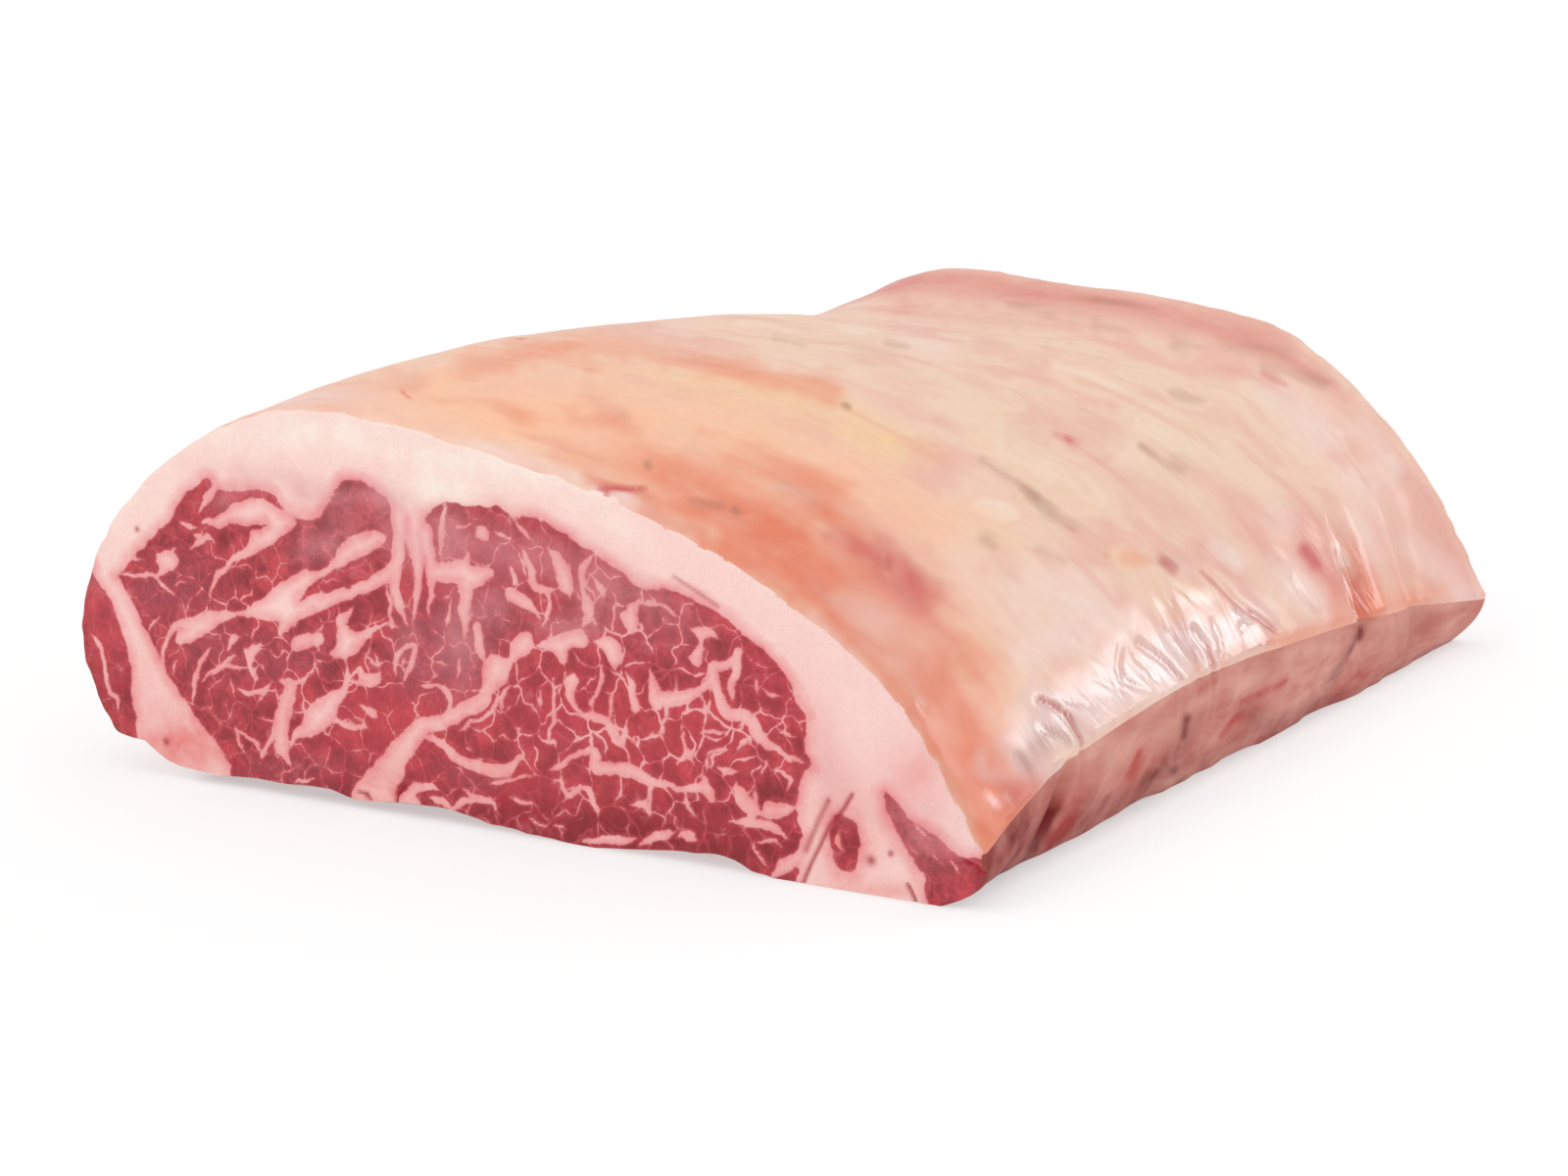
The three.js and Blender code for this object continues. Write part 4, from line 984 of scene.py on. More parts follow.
chineTones = {
    # dark: the band (0, 0, 300, 4) along the whole foot is painted shade where the side meets the table
    "dark": [(-60, 20, 60, 14, 0, 0.5), (70, 16, 50, 10, 0, 0.5), (0, 0, 300, 4, 0, 0.4)],
    "pale": [
        (-90, 43, 40, 5, 4, 0.9), (-20, 40, 30, 7, -6, 0.8), (36, 44, 30, 5, 5, 0.9),
        (104, 41, 30, 6, -5, 0.8), (0, 26, 26, 4, 12, 0.5), (-70, 22, 18, 4, -14, 0.5),
        (84, 24, 20, 4, 10, 0.5),
    ],
    "red": [(-40, 34, 30, 5, 8, 0.4), (64, 32, 34, 6, -6, 0.4)],
}


# Strokes on the skin as the photograph shows them: path in its pixels, half width in them, strength.
skinStrokes = {
    "orange": [
        ([(600, 488), (650, 515), (713, 551), (770, 583), (826, 612), (866, 650)], 9, 0.5),
        ([(850, 628), (872, 650), (908, 694), (943, 738), (970, 778), (988, 812), (1002, 848),
          (1012, 878)], 12, 0.7), ([(985, 780), (1004, 812), (1016, 850)], 15, 0.65),
        ([(1022, 778), (1046, 800), (1034, 836)], 18, 0.8), ([(860, 600), (905, 645), (950, 690)], 34, 0.4),
        ([(480, 378), (530, 362), (590, 352), (650, 352), (720, 366), (790, 388), (850, 398)], 13, 0.45),
        ([(585, 428), (615, 432), (650, 440)], 7, 0.35),
        ([(410, 398), (450, 408), (500, 408), (540, 424)], 6, 0.3),
        ([(700, 470), (760, 478), (840, 500)], 18, 0.35), ([(570, 465), (640, 480), (690, 500)], 12, 0.3),
        ([(660, 512), (720, 522), (770, 538), (820, 548)], 13, 0.6),
        ([(740, 560), (800, 580), (850, 602)], 20, 0.55), ([(735, 505), (790, 520), (850, 525)], 10, 0.35),
        ([(950, 700), (980, 735), (1005, 785), (1022, 832)], 26, 0.6),
        ([(1245, 660), (1320, 652), (1370, 632), (1400, 620)], 9, 0.65),
        ([(1400, 622), (1440, 612), (1470, 600)], 13, 0.5), ([(1345, 600), (1372, 610)], 12, 0.4),
        ([(1150, 566), (1170, 570)], 8, 0.3), ([(980, 668), (1010, 676)], 16, 0.35),
    ],
    "peach": [
        ([(430, 410), (520, 420), (600, 450), (680, 478)], 24, 0.5),
        ([(480, 372), (560, 380), (640, 392)], 18, 0.45),
    ],
    "pink": [
        ([(925, 288), (1000, 296), (1100, 308), (1200, 324), (1300, 336)], 18, 0.45),
        ([(920, 318), (1010, 326), (1100, 334)], 8, 0.3), ([(1240, 375), (1290, 384)], 9, 0.4),
        ([(1060, 430), (1120, 440)], 22, 0.3), ([(1300, 395), (1360, 440)], 12, 0.25),
        ([(1078, 443), (1098, 452)], 6, 0.6), ([(880, 555), (905, 570), (930, 600)], 22, 0.6),
        ([(1440, 490), (1480, 560), (1508, 612)], 10, 0.4),
        ([(1325, 540), (1345, 575), (1362, 610)], 15, 0.7),
        ([(1225, 560), (1262, 590), (1296, 636)], 9, 0.45), ([(950, 640), (962, 670)], 8, 0.3),
        ([(1380, 560), (1398, 590)], 9, 0.5), ([(1180, 560), (1220, 590)], 12, 0.3),
        ([(240, 420), (330, 408), (420, 392)], 14, 0.3), ([(600, 400), (640, 440)], 12, 0.25),
        ([(1000, 350), (1060, 372)], 9, 0.3), ([(1250, 500), (1300, 530)], 9, 0.3),
    ],
    "red": [
        ([(1034, 812), (1046, 806)], 14, 0.45), ([(1186, 572), (1196, 580)], 5, 0.6),
        ([(906, 560), (926, 580), (940, 604)], 17, 0.4), ([(915, 572), (930, 588)], 9, 0.3),
        ([(880, 562), (905, 574)], 7, 0.4), ([(612, 499), (657, 499)], 3, 0.75),
        ([(619, 500), (617, 524)], 2.6, 0.6), ([(846, 545), (884, 560)], 8, 0.3),
        ([(1331, 562), (1343, 575)], 6, 0.95), ([(1087, 446), (1092, 449)], 3.5, 0.5),
        # the thin red strokes along the wet film's creases, from the one through (1225, 583) to the one
        # through (1384, 590), are painted shade in those creases
        ([(410, 400), (418, 406)], 2.4, 0.7), ([(1225, 583), (1258, 615), (1300, 645)], 2.6, 0.55),
        ([(1062, 713), (1091, 732), (1105, 761)], 2.2, 0.5), ([(1176, 666), (1206, 691)], 2.2, 0.45),
        ([(1217, 660), (1223, 684)], 2.2, 0.45), ([(1231, 659), (1239, 681)], 3, 0.6),
        ([(1384, 590), (1396, 633)], 3.5, 0.25), ([(1290, 380), (1312, 392)], 4, 0.3),
    ],
    "brown": [
        ([(709, 511), (722, 513), (737, 515)], 3.4, 0.4), ([(750, 520), (751, 522)], 3.4, 0.6),
        ([(660, 474), (661, 476)], 3.2, 0.5), ([(1000, 470), (1022, 483), (1058, 508)], 4, 0.35),
        ([(1048, 500), (1072, 522), (1096, 542)], 6, 0.4), ([(1100, 535), (1130, 556)], 4.5, 0.25),
        ([(1126, 565), (1130, 568)], 4, 0.35), ([(1188, 572), (1197, 580)], 4, 0.5),
        ([(1050, 772), (1066, 760), (1090, 748)], 13, 0.4), ([(1006, 552), (1014, 558)], 8, 0.4),
        ([(862, 413), (865, 415)], 3, 0.55), ([(1196, 401), (1226, 409)], 5, 0.3),
        ([(1030, 312), (1075, 320)], 5, 0.3), ([(1094, 322), (1115, 326)], 5, 0.25),
        ([(1125, 332), (1150, 337)], 5, 0.3), ([(1200, 352), (1250, 356), (1310, 358)], 7, 0.25),
        ([(905, 350), (925, 354)], 3.5, 0.3), ([(875, 368), (895, 372)], 3, 0.3),
        ([(790, 345), (820, 350)], 4, 0.2), ([(1165, 455), (1185, 470), (1205, 480)], 4, 0.35),
        ([(870, 350), (905, 364)], 7, 0.2), ([(1200, 470), (1240, 492)], 7, 0.2),
        ([(1290, 372), (1350, 392)], 7, 0.25), ([(1060, 560), (1085, 572)], 5, 0.25),
    ],
    "yellow": [
        ([(755, 398), (805, 408)], 15, 0.55), ([(815, 432), (880, 442), (950, 464)], 12, 0.5),
        ([(690, 398), (740, 412), (790, 440)], 14, 0.4), ([(620, 392), (660, 402)], 8, 0.35),
        ([(662, 385), (722, 402)], 12, 0.35), ([(1110, 560), (1150, 570)], 9, 0.4),
        ([(880, 470), (930, 480)], 10, 0.3),
    ],
    # white: pale fat; the first two strokes, over the wet film along the tail edge, and the broad one from
    # (1050, 664) are a painted highlight
    "white": [
        ([(1096, 740), (1140, 714), (1190, 688)], 20, 1), ([(1200, 664), (1240, 650)], 10, 0.7),
        ([(862, 612), (900, 630)], 16, 0.25), ([(890, 640), (940, 656)], 20, 0.2),
        ([(985, 570), (1020, 590), (1040, 620)], 24, 0.3), ([(1440, 560), (1500, 612)], 16, 0.4),
        ([(1050, 664), (1100, 644), (1150, 640)], 20, 0.6), ([(1318, 600), (1345, 612)], 11, 0.6),
        ([(1332, 432), (1350, 446)], 14, 0.6), ([(1290, 524), (1312, 540)], 13, 0.4),
        ([(650, 340), (700, 346)], 12, 0.3), ([(440, 458), (520, 466), (590, 490)], 9, 0.4),
        ([(270, 425), (350, 430), (430, 450)], 9, 0.4), ([(930, 345), (960, 352)], 14, 0.35),
        ([(1392, 440), (1410, 470)], 12, 0.5), ([(622, 516), (640, 530)], 7, 0.7),
        ([(1240, 560), (1262, 574)], 8, 0.4), ([(1060, 590), (1100, 600)], 20, 0.3),
        ([(680, 548), (700, 552)], 5, 0.5), ([(1364, 556), (1374, 575)], 4, 0.7),
    ],
    "film": [
        ([(1050, 772), (1062, 745), (1075, 728), (1110, 712), (1150, 690), (1200, 666), (1240, 650),
          (1262, 643)], 24, 1),
    ],
    "wet": [
        ([(1066, 742), (1085, 722), (1110, 712), (1150, 690), (1200, 666), (1240, 650),
          (1266, 640)], 24, 1), ([(1368, 560), (1380, 590), (1396, 633)], 10, 0.8),
        ([(1008, 812), (1016, 820)], 5, 0.8), ([(1028, 812), (1036, 816)], 4, 0.8),
        ([(795, 495), (823, 512)], 9, 0.8), ([(1180, 575), (1205, 575)], 7, 0.8),
        ([(1187, 618), (1234, 609)], 12, 0.7), ([(615, 515), (640, 530)], 10, 0.9),
        ([(900, 560), (935, 600)], 14, 0.4), ([(926, 690), (938, 715)], 6, 0.7),
        ([(828, 598), (836, 604)], 5, 0.8), ([(1240, 540), (1262, 574)], 9, 0.5),
        ([(1296, 570), (1320, 600)], 9, 0.4),
    ],
}
sideStrokes = {
    # dark: the first stroke and the one through (1385, 646) run down the slits at y -104 and 58, and the long
    # thin one from (1130, 815) runs low along the foot; these are painted shade
    "dark": [
        ([(1080, 822), (1070, 835), (1063, 844), (1050, 865)], 4.5, 1),
        ([(995, 905), (1020, 872), (1046, 842)], 26, 0.45), ([(1212, 734), (1208, 751)], 4, 0.9),
        ([(1190, 780), (1196, 786)], 5, 0.8), ([(1172, 795), (1180, 788)], 4.5, 0.6),
        ([(1385, 646), (1378, 662), (1367, 679), (1353, 703)], 3, 0.8),
        ([(1388, 643), (1386, 649)], 4, 0.9), ([(1100, 830), (1120, 815)], 10, 0.4),
        ([(1130, 815), (1240, 765), (1350, 712)], 5, 0.3),
    ],
    "red": [
        ([(1154, 792), (1158, 780), (1163, 768)], 4, 0.8),
        ([(1246, 752), (1255, 738), (1266, 728)], 3.2, 0.8),
        ([(1267, 716), (1290, 706), (1314, 694)], 3.2, 0.7),
        ([(1064, 872), (1078, 854), (1092, 838)], 6, 0.9), ([(1000, 850), (1010, 872)], 9, 0.4),
        ([(1130, 745), (1150, 738)], 8, 0.3), ([(1225, 705), (1238, 695)], 5, 0.4),
    ],
    "pale": [
        ([(1086, 800), (1108, 790), (1120, 800)], 13, 0.55), ([(1130, 758), (1145, 772)], 13, 0.6),
        ([(1262, 700), (1285, 690)], 11, 0.6),
        ([(1120, 752), (1150, 733), (1178, 715), (1217, 698), (1245, 686), (1296, 669),
          (1366, 660)], 5, 0.35), ([(1180, 745), (1196, 735)], 9, 0.4),
        ([(1290, 735), (1330, 712)], 8, 0.4), ([(1410, 640), (1450, 618), (1490, 606)], 10, 0.5),
        ([(1385, 668), (1405, 655)], 10, 0.5), ([(1084, 775), (1100, 765)], 8, 0.4),
    ],
}

# painted shade: the wet film's creases are darkened with brown, more where they are deeper
skinStrokes["brown"] += [(path, width * 0.7, 0.3 * deep) for path, width, deep in relief["wrinkles"]]


fray = [(0.28, 13, 97), (0.2, 40, 98)]  # how far and how finely a stroke's edge wanders, and the seed


def strokeTone(px, py, strokes, start):  # soft strokes with frayed edges, laid over what is there
    frayed = 0.9 + sum(deep * grain(px / size, py / size, seed) for deep, size, seed in fray)
    for path, width, strength in strokes:
        start = 1 - (1 - start) * (1 - strength * bell(distanceToPath(px, py, path) / width * frayed))
    return start


def tone(u, v, spots):  # soft turned ovals, laid over each other
    total = np.zeros(np.shape(u))
    for atU, atV, reachU, reachV, turn, strength in spots:
        c, s = math.cos(math.radians(turn)), math.sin(math.radians(turn))
        du, dv = u - atU, v - atV
        apart = np.hypot((du * c + dv * s) / reachU, (dv * c - du * s) / reachV)
        total = 1 - (1 - total) * (1 - strength * bell(apart))
    return total


def addMask(thing, name, values):
    layer = thing.data.attributes.new(name, "FLOAT", "POINT")
    layer.data.foreach_set("value", np.asarray(values, np.float32))


def placesOf(thing):
    co = np.zeros(len(thing.data.vertices) * 3)
    thing.data.vertices.foreach_get("co", co)
    return co.reshape(-1, 3).T / mm


def markTissue(thing):
    x, y, z = placesOf(thing)
    near, far = y < -halfLength + 2, y > halfLength - 2
    lean = np.full(len(x), 4.0)
    lean[near] = leanField(x[near], z[near])
    lean[far] = farField(x[far], z[far])
    addMask(thing, "lean", np.clip(lean, -6, 6))
    addMask(thing, "fold", np.where(near, foldMask(x, z), 0))
    px, py = inPhoto(np.where(y > 0, -(x + cutForm["mirror"][0]), x), -halfLength + 0 * y, z)
    ends = near | far
    for name, spots in cutTones.items():
        addMask(thing, name, np.where(ends, tone(px, py, spots), 0))
    px, py = inPhoto(x, y, z)
    seen = x > -66
    for name, spots in skinTones.items():
        flat = tone(x, y, spots)
        addMask(thing, name, np.where(seen, strokeTone(px, py, skinStrokes.get(name, []), flat), flat))
    onTail = x > tailFrom
    for name in sideStrokes:
        flat = np.where(onTail, tone(y, z, sideTones.get(name, [])), tone(y, z, chineTones.get(name, [])))
        addMask(thing, "side_" + name, np.where(onTail, strokeTone(px, py, sideStrokes[name], flat), flat))


faceRules = {  # where a face is cut, base or foot of the trimmed side: places in mm, parts of its normal
    "cutDepth": 0.9, "cutFacing": 0.6, "baseBelow": 8, "baseFacing": -0.5, "footBelow": 9, "footFacing": 0.3,
    "sharpTurn": 42,
}


def partFaces(thing, skinFinish, cutFinish, baseFinish, footFinish):  # which finish each face takes
    mesh = thing.data
    mesh.materials.clear()
    for finish in (skinFinish, cutFinish, baseFinish, footFinish):
        mesh.materials.append(finish)
    count = len(mesh.polygons)
    normals, centres = np.zeros(count * 3), np.zeros(count * 3)
    mesh.polygons.foreach_get("normal", normals)
    mesh.polygons.foreach_get("center", centres)
    normals, centres = normals.reshape(-1, 3), centres.reshape(-1, 3) / mm
    (x, y, z), (facingX, facingY, facingZ), rules = centres.T, normals.T, faceRules
    cut = (np.abs(y) > halfLength - rules["cutDepth"]) & (np.abs(facingY) > rules["cutFacing"])
    base = (facingZ < rules["baseFacing"]) & (z < rules["baseBelow"])
    foot = (x > tailFrom) & (z < rules["footBelow"]) & (facingX > rules["footFacing"])
    mesh.polygons.foreach_set("material_index", np.select([cut, foot, base], [1, 3, 2], 0).astype(np.int32))
    mesh.polygons.foreach_set("use_smooth", np.ones(count, bool))
    mesh.set_sharp_from_angle(angle=math.radians(rules["sharpTurn"]))


def hexColour(text):  # an sRGB hex colour as linear
    parts = [int(text[i : i + 2], 16) / 255 for i in (1, 3, 5)]
    return (*[p / 12.92 if p <= 0.04045 else ((p + 0.055) / 1.055) ** 2.4 for p in parts], 1)


def addNode(tree, kind, inputs=None, stops=None, **settings):  # a node, its settings, links and ramp colours
    made = tree.nodes.new(kind)
    for name, value in settings.items():
        setattr(made, name, value)
    for socket, value in (inputs or {}).items():
        if isinstance(value, bpy.types.Node):
            value = next(output for output in value.outputs if output.enabled)
        if isinstance(value, bpy.types.NodeSocket):
            tree.links.new(value, made.inputs[socket])
        else:
            made.inputs[socket].default_value = value
    for i, (place, colour) in enumerate(stops or []):
        ramp = made.color_ramp.elements
        stop = ramp[i] if i < len(ramp) else ramp.new(place)
        stop.position = place
        stop.color = hexColour(colour)
    return made


def newFinish(name):
    finish = bpy.data.materials.new(name)
    finish.use_nodes = True
    tree = finish.node_tree
    tree.nodes.clear()
    place = addNode(tree, "ShaderNodeTexCoord").outputs["Object"]
    inMm = addNode(tree, "ShaderNodeVectorMath", {0: place, 1: (1000, 1000, 1000)}, operation="MULTIPLY")
    return finish, tree, inMm


def readMasks(tree, names, start=""):
    masks = {}
    for name in names:
        masks[name] = addNode(tree, "ShaderNodeAttribute", attribute_name=start + name).outputs["Fac"]
    return masks


# Raw beef, sliced across the grain with a wet knife: rose-red bundles of fibre, each a little lighter or
# duller than the next, parted by seams, a thin net and hair lines of soft white fat, under a film of juice.
beefCut = {
    "darkLean": "#92262f", "dullLean": "#ac3540", "brightLean": "#cc414b", "greyLean": "#a54655",
    # fold: the dark red of the cut's flecks, and along its folds partly painted shade
    "deepLean": "#8a1824", "seamEdge": "#cb4652", "haze": "#d68a8f", "hair": "#cf7b80", "fold": "#b01c34",
    "thinFat": "#ef9093", "thickFat": "#fed6cf", "salmonFat": "#ea7c78", "ivoryFat": "#fff0e2",
    "cloudFat": "#fbcfc9",
    # sizes in mm
    "fibre": 0.8, "bundle": 2.4, "clump": 7, "bend": (5, 4.5), "net": 6.4, "netWide": (0.42, 0.82),
    "netBlend": 0.8, "ragged": 0.36, "soft": 0.2, "edge": 0.9, "thick": (-0.2, -3.2), "hairCell": 5.5,
    "bumpHigh": 0.4,
    # strengths
    "hairWide": (0.006, 0.028), "hairShare": 0.3, "edgeShare": 0.6, "veil": 0.55, "clouds": 0.4,
    "roughness": (0.32, 0.58),
    "surface": {
        "IOR": 1.4, "Specular IOR Level": 0.4, "Coat Weight": 0.3, "Coat Roughness": 0.12, "Coat IOR": 1.34,
    },
}


def slicedBeef():
    finish, tree, inMm = newFinish("sliced_raw_beef")
    spec = beefCut
    masks = readMasks(tree, ("lean", "bright", "dull", "deep", "haze", "net", "salmon", "ivory", "fold"))
    flat = addNode(tree, "ShaderNodeMapping", {0: inMm, "Rotation": (math.radians(90), 0, 0)})
    bendSize, bendReach = spec["bend"]
    fibres = addNode(tree, "ShaderNodeTexNoise", {
        "Vector": flat, "Scale": 1 / spec["fibre"], "Detail": 2,
    }, noise_dimensions="2D")
    warp = addNode(tree, "ShaderNodeTexNoise", {
        "Vector": flat, "Scale": 1 / bendSize, "Detail": 1,
    }, noise_dimensions="2D")
    bent = addNode(tree, "ShaderNodeVectorMath", {
        0: warp.outputs["Color"], 1: (bendReach, bendReach, 0), 2: flat,
    }, operation="MULTIPLY_ADD")
    clumps = addNode(tree, "ShaderNodeTexNoise", {
        "Vector": flat, "Scale": 1 / spec["clump"], "Detail": 3, "Roughness": 0.6,
    }, noise_dimensions="2D")
    # a net of thin fat round the bundles, that thickens into the seams where it meets them
    cells = addNode(tree, "ShaderNodeTexVoronoi", {
        "Vector": bent, "Scale": 1 / spec["net"],
    }, feature="DISTANCE_TO_EDGE", voronoi_dimensions="2D")
    present = addNode(tree, "ShaderNodeMapRange", {0: clumps, 1: 0.4, 2: 0.56, 3: 0.5, 4: 1})
    present = addNode(tree, "ShaderNodeMath", {0: present, 1: masks["net"]}, operation="MULTIPLY")
    narrow, wider = spec["netWide"]
    netWide = addNode(tree, "ShaderNodeMath", {0: present, 1: -wider, 2: narrow}, operation="MULTIPLY_ADD")
    net = addNode(tree, "ShaderNodeMath", {0: cells, 1: spec["net"], 2: netWide}, operation="MULTIPLY_ADD")
    shift = addNode(tree, "ShaderNodeMath", {
        0: fibres, 1: spec["ragged"], 2: -spec["ragged"] / 2,
    }, operation="MULTIPLY_ADD")
    lean = addNode(tree, "ShaderNodeMath", {
        0: masks["lean"], 1: net, 2: spec["netBlend"],
    }, operation="SMOOTH_MIN")
    lean = addNode(tree, "ShaderNodeMath", {0: lean, 1: shift})
    # lean: clumps, dull and bright zones, bundles and fibres, redder beside the fat
    bundles = addNode(tree, "ShaderNodeTexVoronoi", {
        "Vector": bent, "Scale": 1 / spec["bundle"],
    }, voronoi_dimensions="2D")
    colour = addNode(tree, "ShaderNodeValToRGB", {0: clumps}, stops=[
        (0.34, spec["darkLean"]), (0.5, spec["dullLean"]), (0.66, spec["brightLean"]),
    ])
    for share, over in (("bright", "brightLean"), ("dull", "greyLean"), ("deep", "deepLean")):
        colour = addNode(tree, "ShaderNodeMix", {
            0: masks[share], 6: colour, 7: hexColour(spec[over]),
        }, data_type="RGBA")
    shade = addNode(tree, "ShaderNodeMapRange", {0: bundles.outputs["Color"], 1: 0, 2: 1, 3: 0.86, 4: 1.12})
    shadeFine = addNode(tree, "ShaderNodeMapRange", {0: fibres, 1: 0.3, 2: 0.7, 3: 0.9, 4: 1.1})
    shade = addNode(tree, "ShaderNodeMath", {0: shade, 1: shadeFine}, operation="MULTIPLY")
    colour = addNode(tree, "ShaderNodeMix", {
        0: 1, 6: colour, 7: shade,
    }, data_type="RGBA", blend_type="MULTIPLY")
    edge = addNode(tree, "ShaderNodeMapRange", {
        0: lean, 1: 0, 2: spec["edge"], 3: spec["edgeShare"], 4: 0,
    }, interpolation_type="SMOOTHSTEP")
    haze = addNode(tree, "ShaderNodeMath", {0: masks["haze"], 1: clumps}, operation="MULTIPLY")
    haze = addNode(tree, "ShaderNodeMath", {0: haze, 1: 1.6}, operation="MULTIPLY", use_clamp=True)
    # hair lines run where one noise crosses its middle
    hair = addNode(tree, "ShaderNodeTexNoise", {
        "Vector": bent, "Scale": 1 / spec["hairCell"], "Detail": 1.5, "Distortion": 0.6,
    }, noise_dimensions="2D")
    hair = addNode(tree, "ShaderNodeMath", {0: hair, 1: 0.5}, operation="SUBTRACT")
    hair = addNode(tree, "ShaderNodeMath", {0: hair}, operation="ABSOLUTE")
    thin, wide = spec["hairWide"]
    hair = addNode(tree, "ShaderNodeMapRange", {0: hair, 1: thin, 2: wide, 3: spec["hairShare"], 4: 0})
    hairAt = addNode(tree, "ShaderNodeMapRange", {0: clumps, 1: 0.47, 2: 0.57, 3: 0, 4: 1})
    hair = addNode(tree, "ShaderNodeMath", {0: hair, 1: hairAt}, operation="MULTIPLY")
    for share, over in ((edge, "seamEdge"), (haze, "haze"), (hair, "hair")):
        colour = addNode(tree, "ShaderNodeMix", {
            0: share, 6: colour, 7: hexColour(spec[over]),
        }, data_type="RGBA")
    # fat: pink where thin, pale where thick, ivory at the rim and salmon low down
    thin, deep = spec["thick"]
    thick = addNode(tree, "ShaderNodeMapRange", {0: lean, 1: thin, 2: deep, 3: 0, 4: 1})
    clouds = addNode(tree, "ShaderNodeMapRange", {0: clumps, 1: 0.35, 2: 0.65, 3: 0, 4: spec["clouds"]})
    fat = hexColour(spec["thinFat"])
    layers = [
        (thick, "thickFat"), (masks["ivory"], "ivoryFat"), (masks["salmon"], "salmonFat"),
        (clouds, "cloudFat"),
    ]
    for share, over in layers:
        fat = addNode(tree, "ShaderNodeMix", {0: share, 6: fat, 7: hexColour(spec[over])}, data_type="RGBA")
    isFat = addNode(tree, "ShaderNodeMapRange", {
        0: lean, 1: spec["soft"], 2: -spec["soft"], 3: 0, 4: 1,
    }, interpolation_type="SMOOTHSTEP")
    colour = addNode(tree, "ShaderNodeMix", {0: isFat, 6: colour, 7: fat}, data_type="RGBA")
    veil = addNode(tree, "ShaderNodeMath", {0: haze, 1: spec["veil"]}, operation="MULTIPLY")
    # the folds' dark red is partly painted shade in them
    for share, over in ((veil, "haze"), (masks["fold"], "fold")):
        colour = addNode(tree, "ShaderNodeMix", {
            0: share, 6: colour, 7: hexColour(spec[over]),
        }, data_type="RGBA")
    # fine relief: bundles and fibres
    high = addNode(tree, "ShaderNodeMath", {0: bundles, 1: -0.5, 2: fibres}, operation="MULTIPLY_ADD")
    bump = addNode(tree, "ShaderNodeBump", {
        "Height": high, "Strength": 0.9, "Distance": spec["bumpHigh"] * mm,
    })
    least, most = spec["roughness"]
    gloss = addNode(tree, "ShaderNodeMapRange", {0: fibres, 1: 0.3, 2: 0.7, 3: least, 4: most})
    skin = addNode(tree, "ShaderNodeBsdfPrincipled", {
        "Base Color": colour, "Roughness": gloss, "Normal": bump, **spec["surface"],
    })
    addNode(tree, "ShaderNodeOutputMaterial", {0: skin})
    return finish


# Beef fat that was trimmed smooth and has begun to dry: waxy cream with soft-edged peach, pink and orange
# stains where juice soaked in, small slanting streaks, and a wet membrane along the tail that glints. Its
# white is partly a painted highlight on that membrane, and its brown and red are partly painted shade in the
# creases.
fatSkin = {
    "tones": [(0.36, "#f0bcaa"), (0.45, "#f3c8b4"), (0.52, "#f5cfb8"), (0.58, "#f4cab3"), (0.66, "#f8dac8")],
    "stainsAndPaintedLight": {  # in the order in which they lie on each other
        "cream": "#f2d4b6", "yellow": "#f6cd9b", "peach": "#fcc39f", "pink": "#e29488", "orange": "#ea8160",
        "white": "#f8d9d0", "film": "#ecc8c3", "brown": "#b07a60", "red": "#cf4748",
    },
    # sizes in mm
    "streak": (30, 8), "blotch": 20, "speckle": 3.2, "crumple": (16, 2.6), "bumpHigh": 1,
    # strengths; each pair is dry, wet
    "streakShare": 0.35, "vein": 0.24, "roughness": (0.58, 0.3), "coat": (0.12, 0.75), "wetFrom": (0.05, 0.8),
    "surface": {"IOR": 1.42, "Specular IOR Level": 0.42, "Coat Roughness": 0.13, "Coat IOR": 1.36},
}


